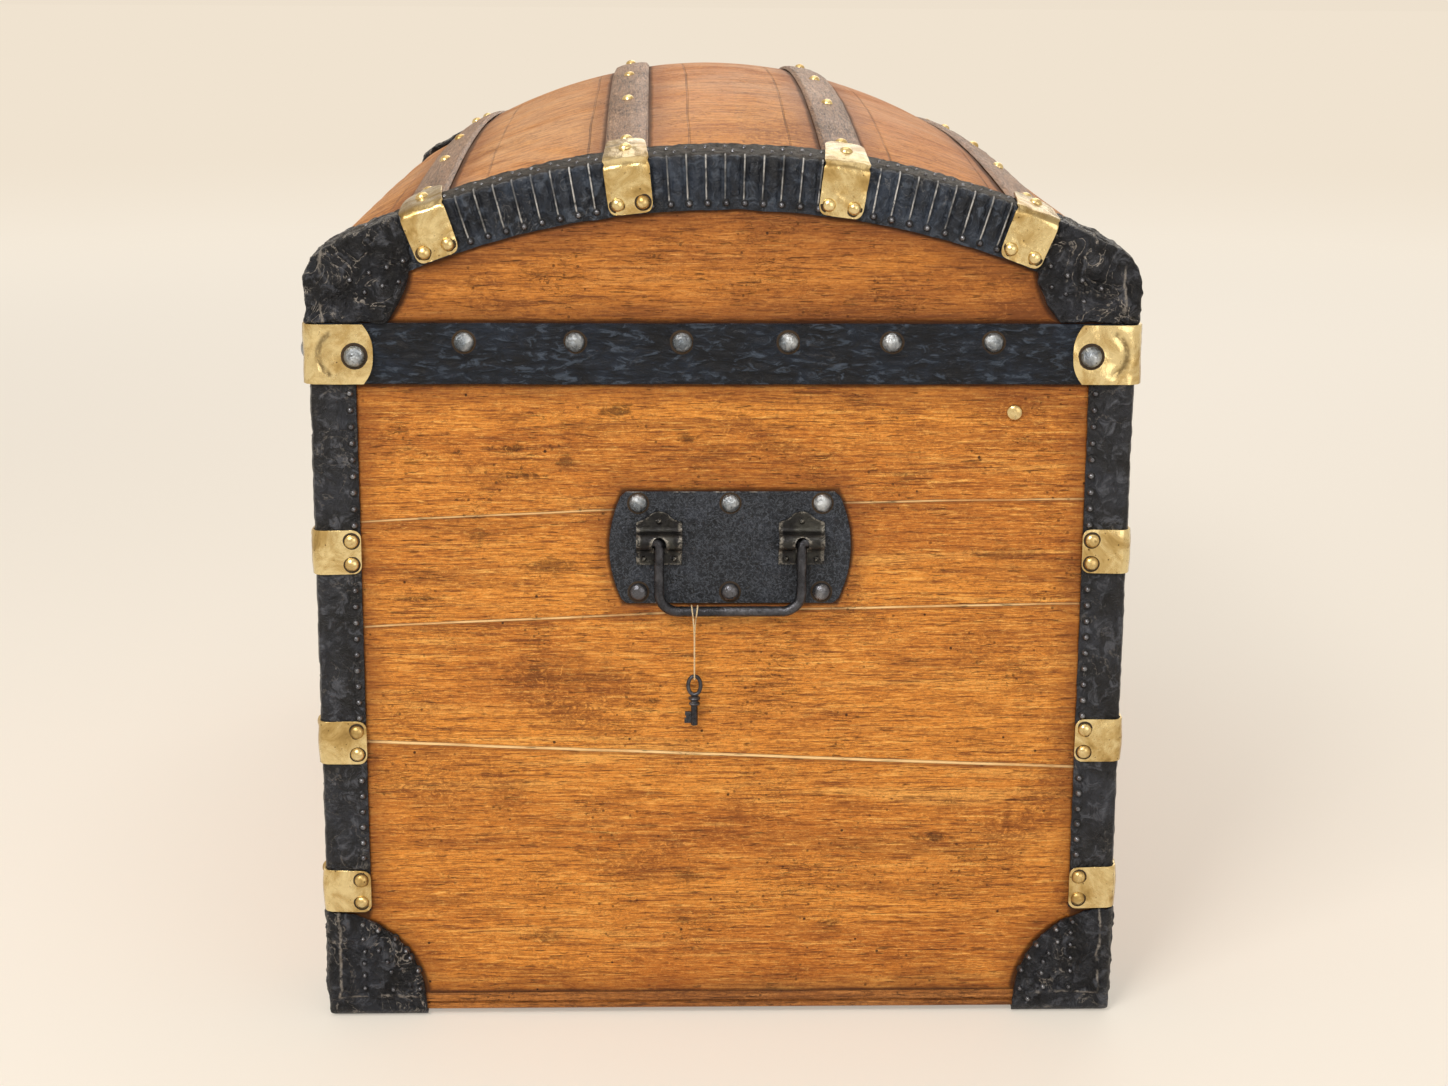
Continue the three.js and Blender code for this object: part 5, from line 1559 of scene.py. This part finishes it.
def makeHandles():
    shift, height = handle.shift, handle.height
    pivot = Vector((handle.pivotOut, 0, height + handle.pivotRise))
    for end, alongX in ends.items():

        def flat(middle, base):
            return lambda a, b, x: Vector((alongX * x, middle + a, base + b))

        levels = handle.plateBack, handle.plateFace
        plate = outlinePlate(plateOutline(), *levels, flat(shift, height))
        node = f"handle_plate_{end}"
        finishPiece(f"handlePlate.{end}", plate, plateIron, "trunk_body", [node], bevel=0.0004)
        nails, lowNails, dirtShadeRims = (bmesh.new() for _ in range(3))
        for across in (-1, 0, 1):
            for rise in (-1, 1):
                y, z = shift + across * handle.nailSpread, height + rise * handle.nailRise
                spot = Vector((alongX * handle.plateFace, y, z))
                # the lower row of nails takes the darker tack iron: painted shade
                heads = nails if rise > 0 else lowNails
                out = Vector((alongX, 0, 0))
                addRivet(heads, dirtShadeRims, spot, out, handle.nailRadius, handle.nailHeight)
        finishPiece(f"handleNails.{end}", nails, steel, "trunk_body")
        finishPiece(f"handleLowNails.{end}", lowNails, tackIron, "trunk_body")
        finishPiece(f"handleDirtAndShade.{end}", dirtShadeRims, rimDirtAndShade, "trunk_body")
        leafBack = handle.plateFace + 0.0003
        leafFace = leafBack + handle.bracketThickness
        for side, alongY in sides.items():
            middle = shift + alongY * handle.bracketSpread
            whole = makeBracket(alongX, middle, pivot, leafBack)
            out = Vector((alongX, 0, 0))
            for across, rise in bracket.rivets:
                spot = Vector((alongX * leafFace, middle + across, pivot.z + rise))
                addHead(whole, bigHead, spot, out, bracket.rivetRadius, bracket.rivetHeight)
            name, node = f"handleBracket.{end}.{side}", f"handle_bracket_{end}_{side}"
            finishPiece(name, whole, bracketIron, "trunk_body", [node], bevel=0.0003)
        spread, drop = handle.bracketSpread, handle.bailDrop
        bend, elbow = handle.bailBend, handle.bailElbow
        points = []
        for alongY in (-1, 1):
            tip = spread + handle.bracketHalf - 0.0009
            leg = [Vector((alongX * pivot.x, shift + alongY * tip, pivot.z))]
            for step in range(13):
                angle = math.radians(90 * step / 12)
                y = spread + elbow * (1 - math.sin(angle))
                z = -elbow * (1 - math.cos(angle))
                leg.append(Vector((alongX * pivot.x, shift + alongY * y, pivot.z + z)))
            for step in range(17):
                angle = math.radians(90 * step / 16)
                y = spread - bend * (1 - math.cos(angle))
                z = -drop + bend * (1 - math.sin(angle))
                leg.append(Vector((alongX * pivot.x, shift + alongY * y, pivot.z + z)))
            points += leg if alongY < 0 else leg[::-1]
        node = f"handle_bail_{end}"
        bentRod(f"handleBail.{end}", points, handle.bailRadius, iron, f"bail_{end}", [node])


makeHandles()
print("handles are made")


# Key, thread and stud

keyShape = Sizes(
    across=-0.0182,
    out=0.4255,
    top=0.23755,
    bowWidth=0.0106,
    bowHeight=0.015,
    wire=0.0013,
    profile=[  # radius and height of the shank, from its tip up
        (0, -0.034), (0.002, -0.034), (0.0023, -0.0334), (0.0022, -0.021), (0.0033, -0.0204),
        (0.0037, -0.0196), (0.0033, -0.0188), (0.0025, -0.0184), (0.0025, -0.0174),
        (0.0036, -0.0168), (0.004, -0.016), (0.0036, -0.0152), (0.002, -0.0144), (0, -0.0142),
    ],
    teeth=[  # centre and size of each
        ((0, -0.0036, -0.0309), (0.002, 0.0056, 0.0032)),
        ((0, -0.0031, -0.0284), (0.002, 0.0046, 0.0026)),
        ((0, -0.0034, -0.0262), (0.002, 0.0052, 0.0026)),
    ],
)
threadShape = Sizes(diameter=0.0009, top=0.2756)
threadStrand = [  # across, out and down from under the bail's bar to the bow of the key, in metres
    (-0.0009, 0.0015, 0.0), (-0.0007, 0.0016, -0.0035), (-0.0004, 0.0017, -0.007),
    (-0.0002, 0.0018, -0.011), (-0.0001, 0.0019, -0.015), (-0.0001, 0.002, -0.019),
    (-0.0001, 0.002, -0.023), (-0.0001, 0.002, -0.027), (-0.0001, 0.002, -0.031),
    (-0.0001, 0.002, -0.035), (0.0, 0.002, -0.038), (0.0, 0.0019, -0.0395), (0.0, 0.0013, -0.0409),
]
threadBow = (0.0, 0.0, -0.0416)
threadRoute = [*threadStrand, threadBow, *((-a, -b, c) for a, b, c in reversed(threadStrand))]


def makeKey():
    place = Vector((keyShape.out, keyShape.across, keyShape.top))
    bow = []
    for step in range(33):
        angle = 2 * math.pi * step / 32
        y = (keyShape.bowWidth / 2 - keyShape.wire) * math.sin(angle)
        z = (keyShape.bowHeight / 2 - keyShape.wire) * math.cos(angle) - keyShape.bowHeight / 2
        bow.append(place + Vector((0, y, z)))
    whole = bmesh.new()
    ring = bentRod("keyBow", bow, keyShape.wire, iron, "key", around=4)
    whole.from_mesh(ring.data)
    bpy.data.objects.remove(ring)
    shank = bmesh.new()
    verts = [shank.verts.new((radius, 0, z)) for radius, z in keyShape.profile]
    line = [shank.edges.new(pair) for pair in zip(verts, verts[1:])]
    turn = {"cent": (0, 0, 0), "axis": (0, 0, 1), "angle": 2 * math.pi}
    bmesh.ops.spin(shank, geom=verts + line, steps=24, use_merge=True, **turn)
    bmesh.ops.remove_doubles(shank, verts=shank.verts[:], dist=0.00001)
    bmesh.ops.recalc_face_normals(shank, faces=shank.faces[:])
    bmesh.ops.translate(shank, vec=place, verts=shank.verts[:])
    for centre, size in keyShape.teeth:
        matrix = Matrix.LocRotScale(place + Vector(centre), None, Vector(size))
        bmesh.ops.create_cube(shank, size=1, matrix=matrix)
    mesh = bpy.data.meshes.new("shank")
    shank.to_mesh(mesh)
    shank.free()
    whole.from_mesh(mesh)
    bpy.data.meshes.remove(mesh)
    return finishPiece("handleKey", whole, iron, "key", ["handle_key"], bevel=0.0002, sharp=40)


def makeThread(key):
    start = Vector((keyShape.out, keyShape.across, threadShape.top))
    points = [start + Vector((out, across, down)) for across, out, down in threadRoute]
    fine = []
    for index in range(len(points) - 1):
        before = points[max(index - 1, 0)]
        after = points[min(index + 2, len(points) - 1)]
        first, second = points[index], points[index + 1]
        for step in range(4):
            fine.append(smoothSpot(before, first, second, after, step / 4))
    fine.append(points[-1])
    thread = tube("keyThread", fine, threadShape.diameter / 2, 3)
    thread.data.materials.append(linenThread)
    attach(thread, "key")
    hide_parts("key_thread")
    length = sum((b - a).length for a, b in zip(fine, fine[1:]))
    bar = start + Vector((0, 0, 0.0036))
    for number, side in enumerate((-1, 1)):
        ring = []
        for step in range(25):
            angle = 2 * math.pi * step / 24
            across = side * (0.0014 - 0.0005 * math.cos(angle))
            ring.append(bar + Vector((0.0038 * math.sin(angle), across, -0.0038 * math.cos(angle))))
        bentRod(f"threadRing{number + 1}", ring, 0.00045, linenThread, "key", around=2)


stud = Sizes(y=0.1836, z=0.4068, headRadius=0.0053, headHeight=0.0026)


def makeStud():
    bm = bmesh.new()
    spot = Vector((endFace + 0.0003, stud.y, stud.z))
    out = Vector((1, 0, 0))
    rod(bm, 0.0024, Vector((0.4047, spot.y, spot.z)), Vector((spot.x + 0.0003, spot.y, spot.z)))
    rod(bm, 0.0046, Vector((0.4047, spot.y, spot.z)), Vector((0.4057, spot.y, spot.z)))
    addHead(bm, bigHead, spot, out, stud.headRadius, stud.headHeight, 0)
    return finishPiece("stayStud", bm, brass, "trunk_body", ["stay_stud"], sharp=50)


makeThread(makeKey())
makeStud()
print("key, thread and stud are made")


# Floor, light and camera

seeingRays = ("Is Camera Ray", "Is Glossy Ray", "Is Transmission Ray")  # those that see the backdrop
stageLook = {"floor": "f8f0e4", "near": "fbf2e4", "far": "f0e3d0", "sky": "eee1ce"}


def makeStage():
    bm = bmesh.new()
    bmesh.ops.create_grid(bm, x_segments=1, y_segments=1, size=30)
    mesh = bpy.data.meshes.new("floor")
    bm.to_mesh(mesh)
    bm.free()
    floor = bpy.data.objects.new("floor", mesh)
    bpy.context.collection.objects.link(floor)
    look = Look("floorPaper")
    distance = look.node("ShaderNodeVectorMath", {"operation": "LENGTH"}, {0: look.place}, "Value")
    fade = look.ease(distance, 0.9, 4.5)
    rays = look.node("ShaderNodeLightPath", {}, {}, seeingRays[0])
    for kind in seeingRays[1:]:
        rays = rays.higher(look.node("ShaderNodeLightPath", {}, {}, kind))
    tone = look.mix(look.ease(distance, 1, 7), tint(stageLook["near"]), tint(stageLook["far"]))
    glow = look.node("ShaderNodeEmission", {}, {"Color": tone, "Strength": 1})
    look.dress(baseColor=tint(stageLook["floor"]), roughness=0.75)
    tree = look.material.node_tree
    blend = tree.nodes.new("ShaderNodeMixShader")
    look.feed(blend.inputs[0], (fade * 0.6 + 0.4) * rays)
    tree.links.new(look.shader.outputs[0], blend.inputs[1])
    tree.links.new(glow.socket, blend.inputs[2])
    tree.links.new(blend.outputs[0], tree.nodes["Material Output"].inputs[0])
    mesh.materials.append(look.material)


def makeWorld():
    world = bpy.data.worlds.new("studio")
    bpy.context.scene.world = world
    world.use_nodes = True
    tree = world.node_tree
    tree.nodes.clear()
    output = tree.nodes.new("ShaderNodeOutputWorld")
    blend = tree.nodes.new("ShaderNodeMixShader")
    lit, seen = tree.nodes.new("ShaderNodeBackground"), tree.nodes.new("ShaderNodeBackground")
    path = tree.nodes.new("ShaderNodeLightPath")
    lit.inputs[0].default_value = tint("fff6ea")
    lit.inputs[1].default_value = 0.36
    seen.inputs[0].default_value = tint(stageLook["sky"])
    seen.inputs[1].default_value = 1
    rays = path.outputs[seeingRays[0]]
    for kind in seeingRays[1:]:
        either = tree.nodes.new("ShaderNodeMath")
        either.operation = "MAXIMUM"
        tree.links.new(rays, either.inputs[0])
        tree.links.new(path.outputs[kind], either.inputs[1])
        rays = either.outputs[0]
    tree.links.new(rays, blend.inputs[0])
    tree.links.new(lit.outputs[0], blend.inputs[1])
    tree.links.new(seen.outputs[0], blend.inputs[2])
    tree.links.new(blend.outputs[0], output.inputs[0])


lamps = {
    "key": {"spot": (2.7, -1.5, 3.0), "aim": (0.3, 0, 0.35), "size": 1.5, "power": 70},
    "spark": {"spot": (2.3, -0.8, 1.75), "aim": (0.42, 0, 0.35), "size": 0.45, "power": 11},
    "fill": {"spot": (3.6, 2.2, 1.3), "aim": (0.3, 0, 0.3), "size": 2.4, "power": 26},
    "top": {"spot": (-0.2, 0, 3.2), "aim": (-0.1, 0, 0.5), "size": 2.4, "power": 20},
    "back": {"spot": (-3.0, 0.8, 2.4), "aim": (-0.1, 0, 0.4), "size": 2.4, "power": 30},
}


def makeLamps():
    for name, facts in lamps.items():
        data = bpy.data.lights.new(name, "AREA")
        data.size = facts["size"]
        data.energy = facts["power"]
        data.color = (1, 0.97, 0.93)
        lamp = bpy.data.objects.new(name, data)
        bpy.context.collection.objects.link(lamp)
        lamp.location = facts["spot"]
        aim = Vector(facts["aim"]) - Vector(facts["spot"])
        lamp.rotation_euler = aim.to_track_quat("-Z", "Y").to_euler()


cameraShape = Sizes(
    spot=(1.9553, -0.0444, 0.6888),
    focal=61.697,
    turns=(13.403436, 1.674689, 0.318851),  # pitch, yaw and roll, in degrees
)


def makeCamera():
    data = bpy.data.cameras.new("camera")
    data.sensor_width = 36
    data.lens = cameraShape.focal
    camera = bpy.data.objects.new("camera", data)
    bpy.context.collection.objects.link(camera)
    pitch, yaw, roll = (math.radians(turn) for turn in cameraShape.turns)
    forward = Vector((-math.cos(yaw) * math.cos(pitch), math.sin(yaw) * math.cos(pitch), -math.sin(pitch)))
    right = Vector((math.sin(yaw), math.cos(yaw), 0))
    up = right.cross(forward)
    rightRolled = right * math.cos(roll) + up * math.sin(roll)
    upRolled = up * math.cos(roll) - right * math.sin(roll)
    turn = Matrix((rightRolled, upRolled, -forward)).transposed()
    camera.matrix_world = Matrix.Translation(cameraShape.spot) @ turn.to_4x4()
    bpy.context.scene.camera = camera
    bpy.context.scene.view_settings.view_transform = "Standard"


makeStage()
makeWorld()
makeLamps()
makeCamera()
print("stage, lamps and camera are set")
